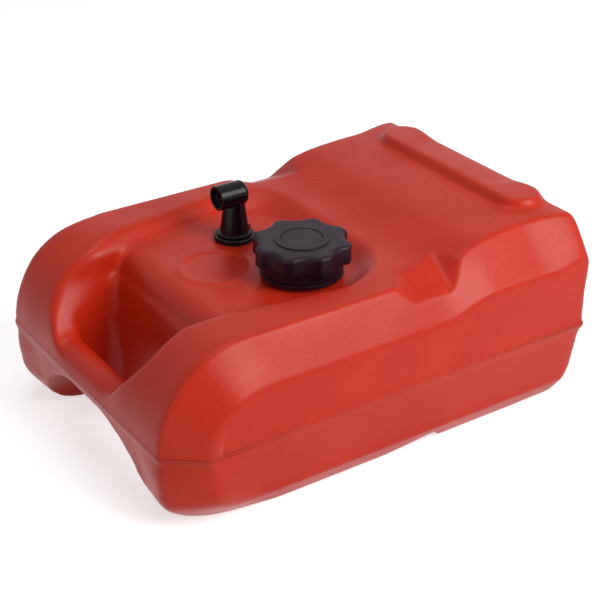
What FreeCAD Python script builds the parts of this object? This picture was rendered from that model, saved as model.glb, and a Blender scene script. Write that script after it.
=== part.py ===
"""Portable outboard fuel tank with a ratcheting vented cap and a fuel outlet elbow.

Frame: X runs along the tank, with the handle bar at -X; Y runs across it; Z is up.
The origin is the middle of the tank's footprint on the floor. All sizes are in millimetres.
"""

import FreeCAD, Part
import math
import os

from FreeCAD import Vector as V

# ---- tank body: overall form ---------------------------------------------------------
TANK_LENGTH = 408.0          # handle bar's face to the plain end
TANK_WIDTH = 300.0           # side panel to side panel, at the parting line
WALL = 4.0                   # blow-moulded wall
PARTING_HEIGHT = 71.0        # height of the mould's parting line
RAIL_HEIGHT = 152.5          # top of the two side rails
RAISED_HEIGHT = 165.5        # upper edge of the plain end
CROWN = 5.0                  # pull of the raised end's bow above its two ends
PANEL_HEIGHT = 117.5         # top edge of the side panels beside the rails
PANEL_RAISED_HEIGHT = 131.5  # the same beside the raised end
CHAMFER_INSET = 21.0         # slanted band: how far the rails stand in from the panels
CORNER_LENGTH = 39.0         # band round the handle end's corners, along X
CORNER_DEPTH = 31.0          # the same, along Y
SWELL_START = 45.0           # X where the top begins to rise
SWELL_LENGTH = 57.0          # length of that rise
SWELL_HEIGHT = 165.5         # height where it runs into the raised end's bow
SWELL_EASE = 3.5             # how softly it does so
BAND_LEAN = 0.6              # slanted band: how far it leans inwards per millimetre of height
END_ROUND_LENGTH = 90.0      # handle end's big upper round, along X
PANEL_ROUND_LENGTH = 48.0    # side panel's upper corner, along X
TOP_ROUND = 8.0              # plain end's upper edge
PANEL_TOP_ROUND = 4.0        # the same where it meets the side panel
FOOT_LENGTH = 44.0           # handle end's lower curve, along X
FOOT_HEIGHT = 36.0           # the same, along Z
PANEL_FOOT_LENGTH = 22.0     # side panel's lower corner, along X
PANEL_FOOT_HEIGHT = 20.0     # the same, along Z
TOE_LENGTH = 17.0            # slanted lower edge of the plain end, along X
PANEL_TOE_LENGTH = 9.0       # the same at the side panel
BAND_ROUND = 3.0             # round on the slanted band's upper edges
KNEE = 3.5                   # upright stretch above the parting line at the handle end
LOWER_BAND = 24.0            # height of the slanted band along the bottom
SIDE_TAPER = 7.4             # how far each side leans in between parting line and floor
END_TAPER = 5.0              # the same at both ends
RIB_HEIGHT = 4.4             # parting rib, along Z
RIB_DEPTH = 0.8              # how far it stands out

# ---- recess, handle well, bar and foot arch ------------------------------------------
DECK_HEIGHT = 140.0          # floor of the recess that carries cap and outlet
DECK_START = -128.0          # X where the deck meets the handle well
DECK_HALF = 94.0             # half width of the deck's foot, beside the cap (X = 0)
DECK_SPLAY = 0.147           # how fast the recess narrows towards the handle
CREST_SPREAD = 11.0          # rails' inner wall: its crest stands out from its foot
DECK_FAR = 15.0              # X of the far wall's foot on the outlet's side
DECK_NEAR = 28.0             # the same beside the cap
CREST_END = 40.0             # X of the far wall's crest
FAR_CORNER = 34.0            # plan radius of the far corner's foot, outlet's side
CAP_CORNER = 46.0            # the same round the cap
DECK_LIP_ROUND = 20.0        # big round where the deck rolls into the well
CREST_ROUND = 7.0            # round on the rails' inner crest
SADDLE_MEETS = -153.0        # X where that crest runs into the saddle over the bar
BAR_INNER = -177.0           # X of the bar's inner face
BAR_TOP = 88.0               # top of the handle bar
BAR_BOTTOM = 62.0            # underside of the handle bar
BAR_ROUND = 11.0             # round on the bar's inner top edge
BAR_UNDER_ROUND = 6.0        # round on its inner lower edge
BAR_FACE_ROUND = 14.0        # round on its outer top edge, along X
BAR_FACE_DROP = 13.5         # the same, along Z
BAR_HALF = 59.0              # half width of the well at the bar's inner face
SADDLE_FOOT = 42.8           # half width of the bar's level top, past the bar's face
SADDLE_KNEE = 80.5           # half width of the saddle at its knee, past the bar's face
SADDLE_TOP = 88.0            # the same above the rails
SADDLE_WELL_FOOT = 64.0      # half width at the bar's height where the saddle runs into the well
SADDLE_WELL_KNEE = 68.0      # the same at its knee
SADDLE_WELL_TOP = 75.0       # the same above the rails
SADDLE_RISE = 37.0           # height of the knee above the bar's top
SADDLE_ROUND = 9.0           # soft foot of its two flanks
SADDLE_BACK = 3.0            # it stops this far before the well's back wall
BEZIER_ROUND = 0.55          # pull of a Bezier's inner poles that gives a near-circular round
WELL_HALF = 70.0             # half width of the well's back corners, at the bar's height
WELL_BACK = -136.0           # X of the well's back wall, at the bar's height
WELL_FLOOR_HALF = 54.0       # half width of the well's front corners, at the floor
WELL_FLOOR_BACK_HALF = 66.0  # half width of its back corners, at the floor
WELL_FLOOR_BACK = -141.0     # X of its back wall, at the floor
WELL_CORNER = 12.0           # radius of its back corners
WELL_TOP_CORNER = 2.0        # the same where they meet the deck
ARCH_TOP_HALF = 20.0         # half width of the level gap under the bar
ARCH_FLOOR_HALF = 90.0       # half width of the gap at the floor
ARCH_EASE = 26.0             # how far its upper corners are drawn out
ARCH_SWELL = 2.0             # how far its lower flanks bulge past the floor's width
ARCH_SHOULDER = 0.62         # height of that bulge, as a share of the bar's underside
UNDER = 5.0                  # cutting forms reach this far below the floor
OVER = 3.0                   # and this far above the rails

# ---- strap seats, pad and ring -------------------------------------------------------
NOTCH_START = 34.0           # X where the strap notch's floor begins, at its inner edge
NOTCH_WIDTH = 36.0           # width of its floor
NOTCH_INNER = 107.0          # Y where the floor meets the top face
NOTCH_SLOPE = 0.46           # fall of the floor per millimetre outwards
NOTCH_SKEW = 0.17            # drift of the floor towards the handle per millimetre outwards
NOTCH_LEFT_RUN = 1.6         # run per millimetre of rise of the side towards the handle
NOTCH_RIGHT_RUN = 1.0        # the same of the side towards the plain end
NOTCH_RISE = 30.0            # height drawn for its two slanted sides
NOTCH_ROUND = 2.5            # soft edges of the notch
GROOVE_START = 4.0           # strap groove under the tank: X where it begins
GROOVE_LENGTH = 56.0         # its length
GROOVE_DEPTH = 9.0           # its depth
GROOVE_STEP = 5.0            # length of its short step down
GROOVE_FLAT = 7.0            # length of its highest stretch
PAD_START = 156.0            # raised pad on the plain end: X of its foot
PAD_LENGTH = 47.0
PAD_HALF = 103.0
PAD_HEIGHT = 8.0
PAD_CORNER = 23.0
PAD_FOOT = 167.0             # height that its foot's outline is drawn at
PAD_REACH = 12.0             # its sides are drawn this far below and above that
PAD_FLANK = 0.7              # how far its sides lean inwards per millimetre of height
PAD_END = 203.0              # its face towards the plain end, X
PAD_ROUND = 3.0              # round on its upper edges
RING_X = -74.0               # moulded blank ring on the deck
RING_Y = 4.0
RING_OUTER = 32.0
RING_WIDTH = 4.5
RING_HEIGHT = 1.2

# ---- filler neck and cap -------------------------------------------------------------
CAP_X = -21.0
CAP_Y = -47.0
NECK_RADIUS = 28.0           # outside of the neck, at the root of its thread
NECK_BORE = 24.0             # inside of the neck
NECK_HEIGHT = 20.0           # rim above the deck
GASKET_THICK = 2.0
CUP_GAP = 1.6                # thread's room between neck and inner cup
CUP_WALL = 2.0
CUP_TOP = 2.6
CAP_LIFT_GAP = 3.0           # inner cup's flange above the deck
FLANGE_STEP = 3.0            # inner cup's flange stands out from the cup
FLANGE_HEIGHT = 3.4
GRIP_WALL = 2.0              # plain lower skirt of the grip
GRIP_GAP = 0.4               # between grip and inner cup
GRIP_HEIGHT = 34.0           # top of the grip above the deck
LOBE_STEP = 7.0              # tips of the lobes stand out from the skirt
LOBE_COUNT = 8
LOBE_HEIGHT = 17.0           # depth of the lobed head
SCALLOP_RADIUS = 20.0        # hollow between two lobes
SCALLOP_DEPTH = 5.0
LOBE_PHASE = -4.3            # turn of the lobes at rest, in degrees
GRIP_TOP = 2.6               # thickness of the grip's crown
DISC_RADIUS = 17.2
DISC_THICK = 1.6
CROWN_RING_RADIUS = 23.0
CROWN_RING_HEIGHT = 0.9
RATCHET_GAP = 5.0            # ratchet teeth stand in from the grip's inner wall
RATCHET_WIDTH = 5.0
RATCHET_TEETH = 18
TOOTH_HEIGHT = 1.4
PAWL_COUNT = 6
SNAP_RING_HEIGHT = 2.4
SNAP_SLOT = 3.0              # gap in the split ring
LOBE_TIP_ROUND = 3.0         # upright edges of the lobes
LOBE_RIM_ROUND = 3.5         # upper edge of the lobed head
PAWL_REACH = 12.0            # length of a pawl, along the ring
PAWL_WIDTH = 3.2

# ---- pressure relief valve in the cap ------------------------------------------------
VALVE_RADIUS = 9.0           # valve body, outside
VALVE_WALL = 1.4
VALVE_DEPTH = 9.0            # how far it hangs below the inner cup's plate
VALVE_SEAT = 4.0             # radius of the seat's hole
POPPET_RADIUS = 6.6
POPPET_THICK = 1.6
POPPET_STEM = 2.3            # inside of its raised collar
VACUUM_STEM = 1.0
RELIEF_WIRE = 0.35           # wire radius
RELIEF_COIL = 4.6            # mean radius of its spring
RELIEF_TURNS = 3.0
COLLAR_HEIGHT = 1.0          # poppet's raised collar
AIR_HOLE = 0.4               # radius of the poppet's air holes
AIR_HOLE_CIRCLE = 1.75       # radius of the circle they stand on
RETAINER_THICK = 1.2
RETAINER_HOLE = 1.1          # radius of its four holes
RETAINER_CIRCLE = 4.4        # radius of the circle they stand on

# ---- fuel outlet ---------------------------------------------------------------------
OUTLET_X = -31.0
OUTLET_Y = 42.0
BOSS_DROP = 14.0             # moulded boss below the deck that takes the adapter
BOSS_WALL = 3.5
OUTLET_GASKET = 1.5
ADAPTER_FLANGE = 18.0        # radius
ADAPTER_FLANGE_HEIGHT = 3.4
ADAPTER_STEM = 10.6
STEM_GAP = 0.3
ELBOW_FOOT = 15.2            # radius of the elbow's foot
ELBOW_FOOT_HEIGHT = 2.6
ELBOW_BASE = 12.7            # radius of the conical stem at its foot
ELBOW_NECK = 8.5             # the same under the port
PORT_AXIS = 41.5             # height of the port's axis above the deck
PORT_RADIUS = 10.75
PORT_REACH = 17.0            # open end, from the stem's axis
PORT_TAIL = 10.0             # closed end, on the other side
PORT_BORE = 5.6              # threaded bore's wall radius
PORT_BORE_LENGTH = 12.0
PORT_MOUTH = 8.8             # counterbore at the mouth
PORT_MOUTH_DEPTH = 3.0
ELBOW_PASSAGE = 3.4
PORT_TAIL_ROUND = 4.0        # round on the closed end
RIB_THICK = 2.0              # small rib down the back of the elbow
LUG_LENGTH = 3.0             # locating lug at its foot
LUG_WIDTH = 5.0
PLUG_RADIUS = 8.0            # elbow's spigot inside the adapter
PLUG_DEPTH = 8.0
PLUG_GAP = 0.15
SEAL_WIRE = 1.1              # radius of the spigot's O-ring
BALL_RADIUS = 4.4
BALL_GAP = 0.3
SEAT_HOLE = 3.0
SEAT_THICK = 2.5
SEAT_SHELF = 1.8             # shelf between the seat ring and the tube's end
CHECK_WIRE = 0.3             # wire radius
CHECK_COIL = 3.4
CHECK_TURNS = 3.0
TUBE_RADIUS = 4.5
TUBE_BORE = 3.2
TUBE_SOCKET = 9.0            # length of tube inside the adapter
STRAINER_FLOOR_GAP = 4.0     # strainer above the tank's inside floor
STRAINER_RADIUS = 8.0
STRAINER_LENGTH = 26.0
STRAINER_BARS = 6
STRAINER_BAR = 1.4           # depth of one bar, across the cage's wall
STRAINER_COLLAR = 5.0        # length of the collar round the tube
STRAINER_CAP = 2.0           # thickness of the closed end
SCREEN_WALL = 0.6
WIRE_SIDES = 6               # flats on the springs' drawn wire
TOUCH = 0.05                 # running clearance between parts that bear on each other
FACE_GAP = 0.3               # clearance between faces that only stand close

HALF_LENGTH = TANK_LENGTH / 2
HALF_WIDTH = TANK_WIDTH / 2
PAST_HANDLE = -HALF_LENGTH - 20.0    # X clear of the body, where cutting forms start


# ---- small helpers -------------------------------------------------------------------
def line(a, b):
    """Straight edge between two points."""
    return Part.makeLine(a, b)


def curve(*poles):
    """Bezier edge through its control points."""
    bezier = Part.BezierCurve()
    bezier.setPoles(list(poles))
    return bezier.toShape()


def tube(outer, inner, low, high, at=(0.0, 0.0)):
    """Upright ring between two heights."""
    base = V(at[0], at[1], low)
    ring = Part.makeCylinder(outer, high - low, base)
    if inner > 0:
        ring = ring.cut(Part.makeCylinder(inner, high - low, base))
    return ring


def rod(radius, low, high, at=(0.0, 0.0)):
    """Upright cylinder between two heights."""
    return Part.makeCylinder(radius, high - low, V(at[0], at[1], low))


def revolve(points, at=(0.0, 0.0)):
    """Solid of revolution about an upright axis, from (radius, height) points."""
    corners = [V(r, 0, z) for r, z in points]
    face = Part.Face(Part.makePolygon(corners + corners[:1]))
    solid = face.revolve(V(0, 0, 0), V(0, 0, 1), 360)
    solid.translate(V(at[0], at[1], 0))
    return solid


def prism(points, direction):
    """Straight prism from a closed polygon of points."""
    return Part.Face(Part.makePolygon(points + points[:1])).extrude(direction)


def rounded_plan(points, radii, height):
    """Closed horizontal outline whose corners are rounded by tangent arcs."""
    edges = []
    count = len(points)
    stops = []
    for i in range(count):
        corner = V(points[i][0], points[i][1], height)
        before = V(points[i - 1][0], points[i - 1][1], height)
        after = V(points[(i + 1) % count][0], points[(i + 1) % count][1], height)
        if radii[i] <= 0:
            stops.append((corner, None, corner))
            continue
        to_before = (before - corner).normalize()
        to_after = (after - corner).normalize()
        half = to_before.getAngle(to_after) / 2
        reach = radii[i] / math.tan(half)
        middle = (to_before + to_after).normalize()
        sagitta = radii[i] / math.sin(half) - radii[i]
        stops.append((corner + to_before * reach, corner + middle * sagitta, corner + to_after * reach))
    for i in range(count):
        start, mid, end = stops[i]
        if mid is not None:
            edges.append(Part.Arc(start, mid, end).toShape())
        edges.append(line(end, stops[(i + 1) % count][0]))
    return Part.Wire(edges)


def spring(mean_radius, wire_radius, low, high, turns, at):
    """Compression spring between two heights, its wire drawn with a few flats."""
    pitch = (high - low - 2 * wire_radius) / turns
    helix = Part.makeHelix(pitch, pitch * turns, mean_radius)
    corners = []
    for i in range(WIRE_SIDES):
        turn = 2 * math.pi * i / WIRE_SIDES
        corners.append(V(mean_radius + wire_radius * math.cos(turn), 0, wire_radius * math.sin(turn)))
    section = Part.makePolygon(corners + corners[:1])
    coil = Part.Wire(helix).makePipeShell([section], True, True)
    coil.translate(V(at[0], at[1], low + wire_radius))
    return coil


def save(name, shape):
    """Write one piece to its STEP file."""
    if not shape.isValid():
        raise ValueError(name + " is not a valid solid")
    shape.exportStep("parts/" + name + ".step")


# ---- tank body -----------------------------------------------------------------------
def rail_measures(wall):
    """Side view measures where the slanted band meets the top, drawn a wall inside."""
    return {
        "left": -HALF_LENGTH + wall, "low": wall, "rail": RAIL_HEIGHT - wall, "raised": RAISED_HEIGHT - wall,
        "swell": SWELL_HEIGHT - wall, "ease": SWELL_EASE, "bow": CROWN,
        "lean": BAND_LEAN,
        "run": END_ROUND_LENGTH - wall, "top_round": TOP_ROUND,
        "y_flat": HALF_WIDTH - CHAMFER_INSET - 0.6 * wall, "y_end": HALF_WIDTH - CORNER_DEPTH - 0.6 * wall,
        "foot_x": FOOT_LENGTH, "foot_z": FOOT_HEIGHT, "toe": TOE_LENGTH,
    }


def panel_measures(wall):
    """Side view measures where the slanted band meets the side panel, drawn a wall inside."""
    return {
        "left": -HALF_LENGTH + CORNER_LENGTH + 0.4 * wall, "low": LOWER_BAND + 0.3 * wall,
        "rail": PANEL_HEIGHT - 0.3 * wall, "raised": PANEL_RAISED_HEIGHT - 0.3 * wall,
        "swell": PANEL_RAISED_HEIGHT - 0.3 * wall, "ease": 0.0, "bow": 0.0,
        "lean": 0.0,
        "run": PANEL_ROUND_LENGTH, "top_round": PANEL_TOP_ROUND,
        "y_flat": HALF_WIDTH - wall, "y_end": HALF_WIDTH - wall,
        "foot_x": PANEL_FOOT_LENGTH, "foot_z": PANEL_FOOT_HEIGHT, "toe": PANEL_TOE_LENGTH,
    }


def side_wire(side, measures, wall):
    """Closed side view outline of the body on one side, from its measures."""
    left, low, rail, raised = (measures[name] for name in ("left", "low", "rail", "raised"))
    y_flat, y_end, bow, toe = (measures[name] for name in ("y_flat", "y_end", "bow", "toe"))
    right = HALF_LENGTH - wall
    foot = left + END_TAPER
    foot_x, foot_z = measures["foot_x"], measures["foot_z"]
    shoulder = left + measures["run"]
    edge = measures["top_round"]
    mid = PARTING_HEIGHT
    knee = mid + KNEE
    swell, swell_end, crest = SWELL_START, SWELL_START + SWELL_LENGTH, measures["swell"]

    def flat(x, z):
        return V(x, side * (y_flat - measures["lean"] * max(0.0, z - rail)), z)

    def end(x, z):
        return V(x, side * y_end, z)

    return Part.Wire([
        line(flat(foot + foot_x, low), flat(right - toe, low)),
        line(flat(right - toe, low), flat(right - END_TAPER, low + 0.8 * toe)),
        line(flat(right - END_TAPER, low + 0.8 * toe), flat(right, mid)),
        line(flat(right, mid), flat(right, raised - edge)),
        curve(flat(right, raised - edge), flat(right, raised), flat(right - edge, raised)),
        curve(flat(right - edge, raised), flat(right - 4 * edge, raised + bow),
              flat(swell_end + 4 * edge, crest + bow), flat(swell_end, crest)),
        curve(flat(swell_end, crest), flat(swell_end - SWELL_LENGTH / 3, crest - measures["ease"]),
              flat(swell + 0.4 * SWELL_LENGTH, rail), flat(swell, rail)),
        line(flat(swell, rail), flat(shoulder, rail)),
        curve(flat(shoulder, rail), V(left + 0.45 * measures["run"], side * (y_flat + y_end) / 2, rail),
              end(left, knee + 0.55 * (rail - knee)), end(left, knee)),
        line(end(left, knee), end(left, mid)),
        line(end(left, mid), end(foot, low + foot_z)),
        curve(end(foot, low + foot_z), end(foot, low + 0.4 * foot_z),
              flat(foot + 0.4 * foot_x, low), flat(foot + foot_x, low)),
    ])


def body_block(wall):
    """Body without its recess, well and notches, drawn a wall inside the skin when asked."""
    rail, panel = rail_measures(wall), panel_measures(wall)
    wires = [side_wire(-1, panel, wall), side_wire(-1, rail, wall)]
    wires += [side_wire(1, rail, wall), side_wire(1, panel, wall)]
    block = Part.makeLoft(wires, True, True)
    reach = TANK_LENGTH
    flat = HALF_WIDTH - wall
    taper = flat - SIDE_TAPER
    mid, high = PARTING_HEIGHT, 2 * RAISED_HEIGHT
    section = [V(-reach, -taper, 0), V(-reach, taper, 0), V(-reach, flat, mid),
               V(-reach, flat, high), V(-reach, -flat, high), V(-reach, -flat, mid)]
    return block.common(prism(section, V(2 * reach, 0, 0)))


def edges_in(shape, low, high):
    """Edges of a shape whose bounding box lies between two corners."""
    picked = []
    for edge in shape.Edges:
        box = edge.BoundBox
        inside = box.XMin > low[0] and box.YMin > low[1] and box.ZMin > low[2]
        if inside and box.XMax < high[0] and box.YMax < high[1] and box.ZMax < high[2]:
            picked.append(edge)
    return picked


def deck_half(x):
    """Half width of the deck's foot at one place along the tank."""
    return DECK_HALF + DECK_SPLAY * x


def deck_outline(height, wall):
    """Plan outline of the recess at one height; its walls lean outwards, going up."""
    share = (height - DECK_HEIGHT) / (RAIL_HEIGHT - DECK_HEIGHT)
    grow = CREST_SPREAD * share + wall
    far = DECK_FAR + (CREST_END - DECK_FAR) * share + wall
    near = DECK_NEAR + (CREST_END - DECK_NEAR) * share + wall
    mouth = deck_half(PAST_HANDLE) + grow
    points = [(PAST_HANDLE, -mouth), (near, -deck_half(near) - grow),
              (far, deck_half(far) + grow), (PAST_HANDLE, mouth)]
    return rounded_plan(points, [0, CAP_CORNER + grow, FAR_CORNER + grow, 0], height - wall)


def recess_tool(wall):
    """Sunken deck between the rails, open towards the handle."""
    foot, crest = deck_outline(DECK_HEIGHT, wall), deck_outline(RAIL_HEIGHT + OVER + wall, wall)
    return Part.makeLoft([foot, crest], True, True)


def well_outline(height, half, back_half, back, corner, wall):
    """Plan outline of the finger well at one height."""
    front = BAR_INNER - wall
    points = [(front, -half - wall), (back + wall, -back_half - wall),
              (back + wall, back_half + wall), (front, half + wall)]
    return rounded_plan(points, [0, corner + wall, corner + wall, 0], height)


def well_tool(wall):
    """Finger well between the handle bar and the tank, from below the floor up to the deck."""
    floor = well_outline(-UNDER, WELL_FLOOR_HALF, WELL_FLOOR_BACK_HALF, WELL_FLOOR_BACK, WELL_CORNER, wall)
    bar = well_outline(BAR_TOP, BAR_HALF, WELL_HALF, WELL_BACK, WELL_CORNER, wall)
    deck = well_outline(DECK_HEIGHT, deck_half(BAR_INNER), deck_half(DECK_START), DECK_START,
                        WELL_TOP_CORNER, wall)
    return Part.makeLoft([floor, bar], True, True).fuse(Part.makeLoft([bar, deck], True, True))


def saddle_section(x, foot, knee, top, wall):
    """Outline across the tank of the space above the bar, at one place along it."""
    low = BAR_TOP - BAR_ROUND - BAR_FACE_DROP
    toe = foot - (BAR_TOP - low) * (knee - foot) / SADDLE_RISE
    heights = (low - wall, BAR_TOP - wall, BAR_TOP + SADDLE_RISE - wall, RAIL_HEIGHT + OVER)
    halves = [half + wall for half in (toe, foot, knee, top)]
    right = [V(x, half, height) for half, height in zip(halves, heights)]
    left = [V(x, -half, height) for half, height in zip(halves, heights)]
    corners = right + left[::-1]
    return Part.makePolygon(corners + corners[:1])


def bar_profile(wall):
    """Side view of the space above the handle bar, with the bar's two rounded edges."""
    def at(x, z):
        return V(x, -HALF_WIDTH, z)

    face, inner, top = -HALF_LENGTH + wall, BAR_INNER - wall, BAR_TOP - wall
    low, sky = BAR_TOP - BAR_FACE_DROP - wall, 2 * RAIL_HEIGHT
    pull = 1 - BEZIER_ROUND
    run, drop, inner_round = BAR_FACE_ROUND - wall, top - low, BAR_ROUND - wall
    bow = inner_round * (1 - math.sqrt(0.5))
    crest, toe = at(inner - inner_round, top), at(inner, top - inner_round)
    back, deck = WELL_BACK - SADDLE_BACK, DECK_START - SADDLE_BACK
    return Part.Wire([
        line(at(PAST_HANDLE, low), at(face, low)),
        curve(at(face, low), at(face, top - drop * pull), at(face + run * pull, top), at(face + run, top)),
        line(at(face + run, top), crest),
        Part.Arc(crest, at(inner - bow, top - bow), toe).toShape(),
        line(toe, at(back, top - inner_round)),
        line(at(back, top - inner_round), at(deck, DECK_HEIGHT)),
        line(at(deck, DECK_HEIGHT), at(deck, sky)),
        line(at(deck, sky), at(PAST_HANDLE, sky)),
        line(at(PAST_HANDLE, sky), at(PAST_HANDLE, low)),
    ])


def saddle_tool(wall):
    """Space above the handle bar, which opens out over it and meets its rounded top softly."""
    outer = saddle_section(PAST_HANDLE, SADDLE_FOOT, SADDLE_KNEE, SADDLE_TOP, wall)
    inner = saddle_section(DECK_START, SADDLE_WELL_FOOT, SADDLE_WELL_KNEE, SADDLE_WELL_TOP, wall)
    above = Part.Face(bar_profile(wall)).extrude(V(0, TANK_WIDTH, 0))
    tool = Part.makeLoft([outer, inner], True, True).common(above)
    if wall == 0:
        feet = [e for e in tool.Edges if e.BoundBox.XLength > 1 and e.BoundBox.ZMax < BAR_TOP + 0.1
                and e.BoundBox.XMin > -HALF_LENGTH - 1 and e.BoundBox.XMax < BAR_INNER + 1
                and e.BoundBox.YLength < 20]
        tool = tool.makeFillet(SADDLE_ROUND, feet)
    return tool


def arch_tool(wall):
    """Gap under the handle bar, between the two feet."""
    top = BAR_BOTTOM + wall
    low = ARCH_FLOOR_HALF + wall
    high = ARCH_TOP_HALF + wall
    ease, swell, shoulder = high + ARCH_EASE, low + ARCH_SWELL, ARCH_SHOULDER * top

    def at(y, z):
        return V(PAST_HANDLE, y, z)

    outline = Part.Wire([
        curve(at(-low, -UNDER), at(-swell, shoulder), at(-ease, top), at(-high, top)),
        line(at(-high, top), at(high, top)),
        curve(at(high, top), at(ease, top), at(swell, shoulder), at(low, -UNDER)),
        line(at(low, -UNDER), at(-low, -UNDER)),
    ])
    return Part.Face(outline).extrude(V(BAR_INNER + 20 - PAST_HANDLE, 0, 0))


def lip_tool(wall):
    """Big round where the deck rolls over into the finger well, between the rails."""
    edge, top, radius = DECK_START + wall, DECK_HEIGHT - wall, DECK_LIP_ROUND
    bow = radius * (1 - math.sqrt(0.5))

    def at(x, z):
        return V(edge + x, -HALF_WIDTH, top + z)

    outline = Part.Wire([
        Part.Arc(at(0, -radius), at(bow, -bow), at(radius, 0)).toShape(),
        line(at(radius, 0), at(radius, OVER)), line(at(radius, OVER), at(-radius, OVER)),
        line(at(-radius, OVER), at(-radius, -radius)), line(at(-radius, -radius), at(0, -radius)),
    ])
    between = Part.Face(deck_outline(DECK_HEIGHT, wall)).extrude(V(0, 0, -radius - 1))
    return Part.Face(outline).extrude(V(0, TANK_WIDTH, 0)).common(between)


def notch_tool(side, wall):
    """Seat for a tie-down strap, cut across one upper edge of the band."""
    start, end = NOTCH_INNER - NOTCH_RISE / 3, HALF_WIDTH + NOTCH_RISE
    out = start - NOTCH_INNER
    floor = RAIL_HEIGHT - wall - NOTCH_SLOPE * out
    left = NOTCH_START - NOTCH_SKEW * out - wall / 2
    right = left + NOTCH_WIDTH + wall
    corners = [V(left, side * start, floor), V(right, side * start, floor),
               V(right + NOTCH_RIGHT_RUN * NOTCH_RISE, side * start, floor + NOTCH_RISE),
               V(left - NOTCH_LEFT_RUN * NOTCH_RISE, side * start, floor + NOTCH_RISE)]
    return prism(corners, V(-NOTCH_SKEW, side, -NOTCH_SLOPE) * (end - start))


def groove_tool(wall):
    """Strap groove across the underside: a long ramp up and a short step down."""
    start, end = GROOVE_START - wall, GROOVE_START + GROOVE_LENGTH + wall
    top = GROOVE_DEPTH + wall
    crest = end - GROOVE_STEP - GROOVE_FLAT - 2 * wall
    profile = [V(start, -TANK_WIDTH, 0), V(crest, -TANK_WIDTH, top), V(end - GROOVE_STEP, -TANK_WIDTH, top),
               V(end, -TANK_WIDTH, 0), V(end, -TANK_WIDTH, -UNDER), V(start, -TANK_WIDTH, -UNDER)]
    return prism(profile, V(0, 2 * TANK_WIDTH, 0))


def pad_form(wall):
    """Raised pad near the plain end, following the bow of the top."""
    outlines = []
    for height in (PAD_FOOT - PAD_REACH, PAD_FOOT + PAD_REACH):
        grow = PAD_FLANK * (PAD_FOOT - height) - wall
        left, right = PAD_START - grow, PAD_START + PAD_LENGTH + grow
        half = PAD_HALF + grow
        points = [(left, -half), (right, -half), (right, half), (left, half)]
        outlines.append(rounded_plan(points, [PAD_CORNER + grow] * 4, height))
    corner = V(PAD_END - wall - TANK_LENGTH, -HALF_WIDTH, 0)
    inside = Part.makeBox(TANK_LENGTH, TANK_WIDTH, 2 * RAISED_HEIGHT, corner)
    pad = Part.makeLoft(outlines, True, True).common(body_block(wall - PAD_HEIGHT)).common(inside)
    if wall == 0:
        above = RAISED_HEIGHT + PAD_HEIGHT / 2
        pad = pad.makeFillet(PAD_ROUND, [e for e in pad.Edges if e.BoundBox.ZMax > above
                                         and e.BoundBox.ZMin > PAD_FOOT])
    return pad


def band_edges(block):
    """Upper edges of the slanted band, where it meets the top."""
    inner, outer = HALF_WIDTH - CORNER_DEPTH - 1, HALF_WIDTH - CHAMFER_INSET + 1
    knee = PARTING_HEIGHT + KNEE - 0.1
    front = edges_in(block, (-HALF_LENGTH - 1, -outer, knee), (HALF_LENGTH + 1, -inner, 2 * RAIL_HEIGHT))
    back = edges_in(block, (-HALF_LENGTH - 1, inner, knee), (HALF_LENGTH + 1, outer, 2 * RAIL_HEIGHT))
    return front + back


def rail_crest(form):
    """Inner crest of the rails, round the recess as far as the saddle over the bar."""
    reach = deck_half(CREST_END) + CREST_SPREAD + 2
    start = SADDLE_MEETS - 5
    return edges_in(form, (start, -reach, RAIL_HEIGHT - 9), (CREST_END + 5, reach, RAIL_HEIGHT + 0.1))


def notch_edges(form, side):
    """Every edge of one strap notch."""
    near, far = sorted((side * (NOTCH_INNER - 15), side * HALF_WIDTH))
    left = NOTCH_START - NOTCH_RISE
    right = NOTCH_START + NOTCH_WIDTH + NOTCH_RISE
    return edges_in(form, (left, near, RAIL_HEIGHT - 40), (right, far, RAISED_HEIGHT))


def soften(form):
    """Round the strap notches and the handle bar's underside."""
    form = form.makeFillet(NOTCH_ROUND, notch_edges(form, -1) + notch_edges(form, 1))
    low, high = BAR_BOTTOM - 3 * BAR_UNDER_ROUND, BAR_BOTTOM + 1
    under = edges_in(form, (BAR_INNER - 0.1, -BAR_HALF - 1, low), (BAR_INNER + 0.1, BAR_HALF + 1, high))
    return form.makeFillet(BAR_UNDER_ROUND, under)


def body_form(wall):
    """Whole body as a solid, drawn a wall thickness inside the skin when asked."""
    form = body_block(wall)
    if wall == 0:
        form = form.makeFillet(BAND_ROUND, band_edges(form))
        slab = Part.makeBox(2 * TANK_LENGTH, 2 * TANK_WIDTH, RIB_HEIGHT,
                            V(-TANK_LENGTH, -TANK_WIDTH, PARTING_HEIGHT - RIB_HEIGHT / 2))
        form = form.fuse(body_block(-RIB_DEPTH).common(slab))
    form = form.fuse(pad_form(wall))
    tools = [recess_tool(wall), saddle_tool(wall), well_tool(wall), arch_tool(wall)]
    tools += [notch_tool(-1, wall), notch_tool(1, wall), groove_tool(wall)]
    form = form.cut(tools)
    if wall == 0:
        form = form.makeFillet(CREST_ROUND, rail_crest(form))
    form = form.cut(lip_tool(wall))
    return soften(form) if wall == 0 else form


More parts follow.
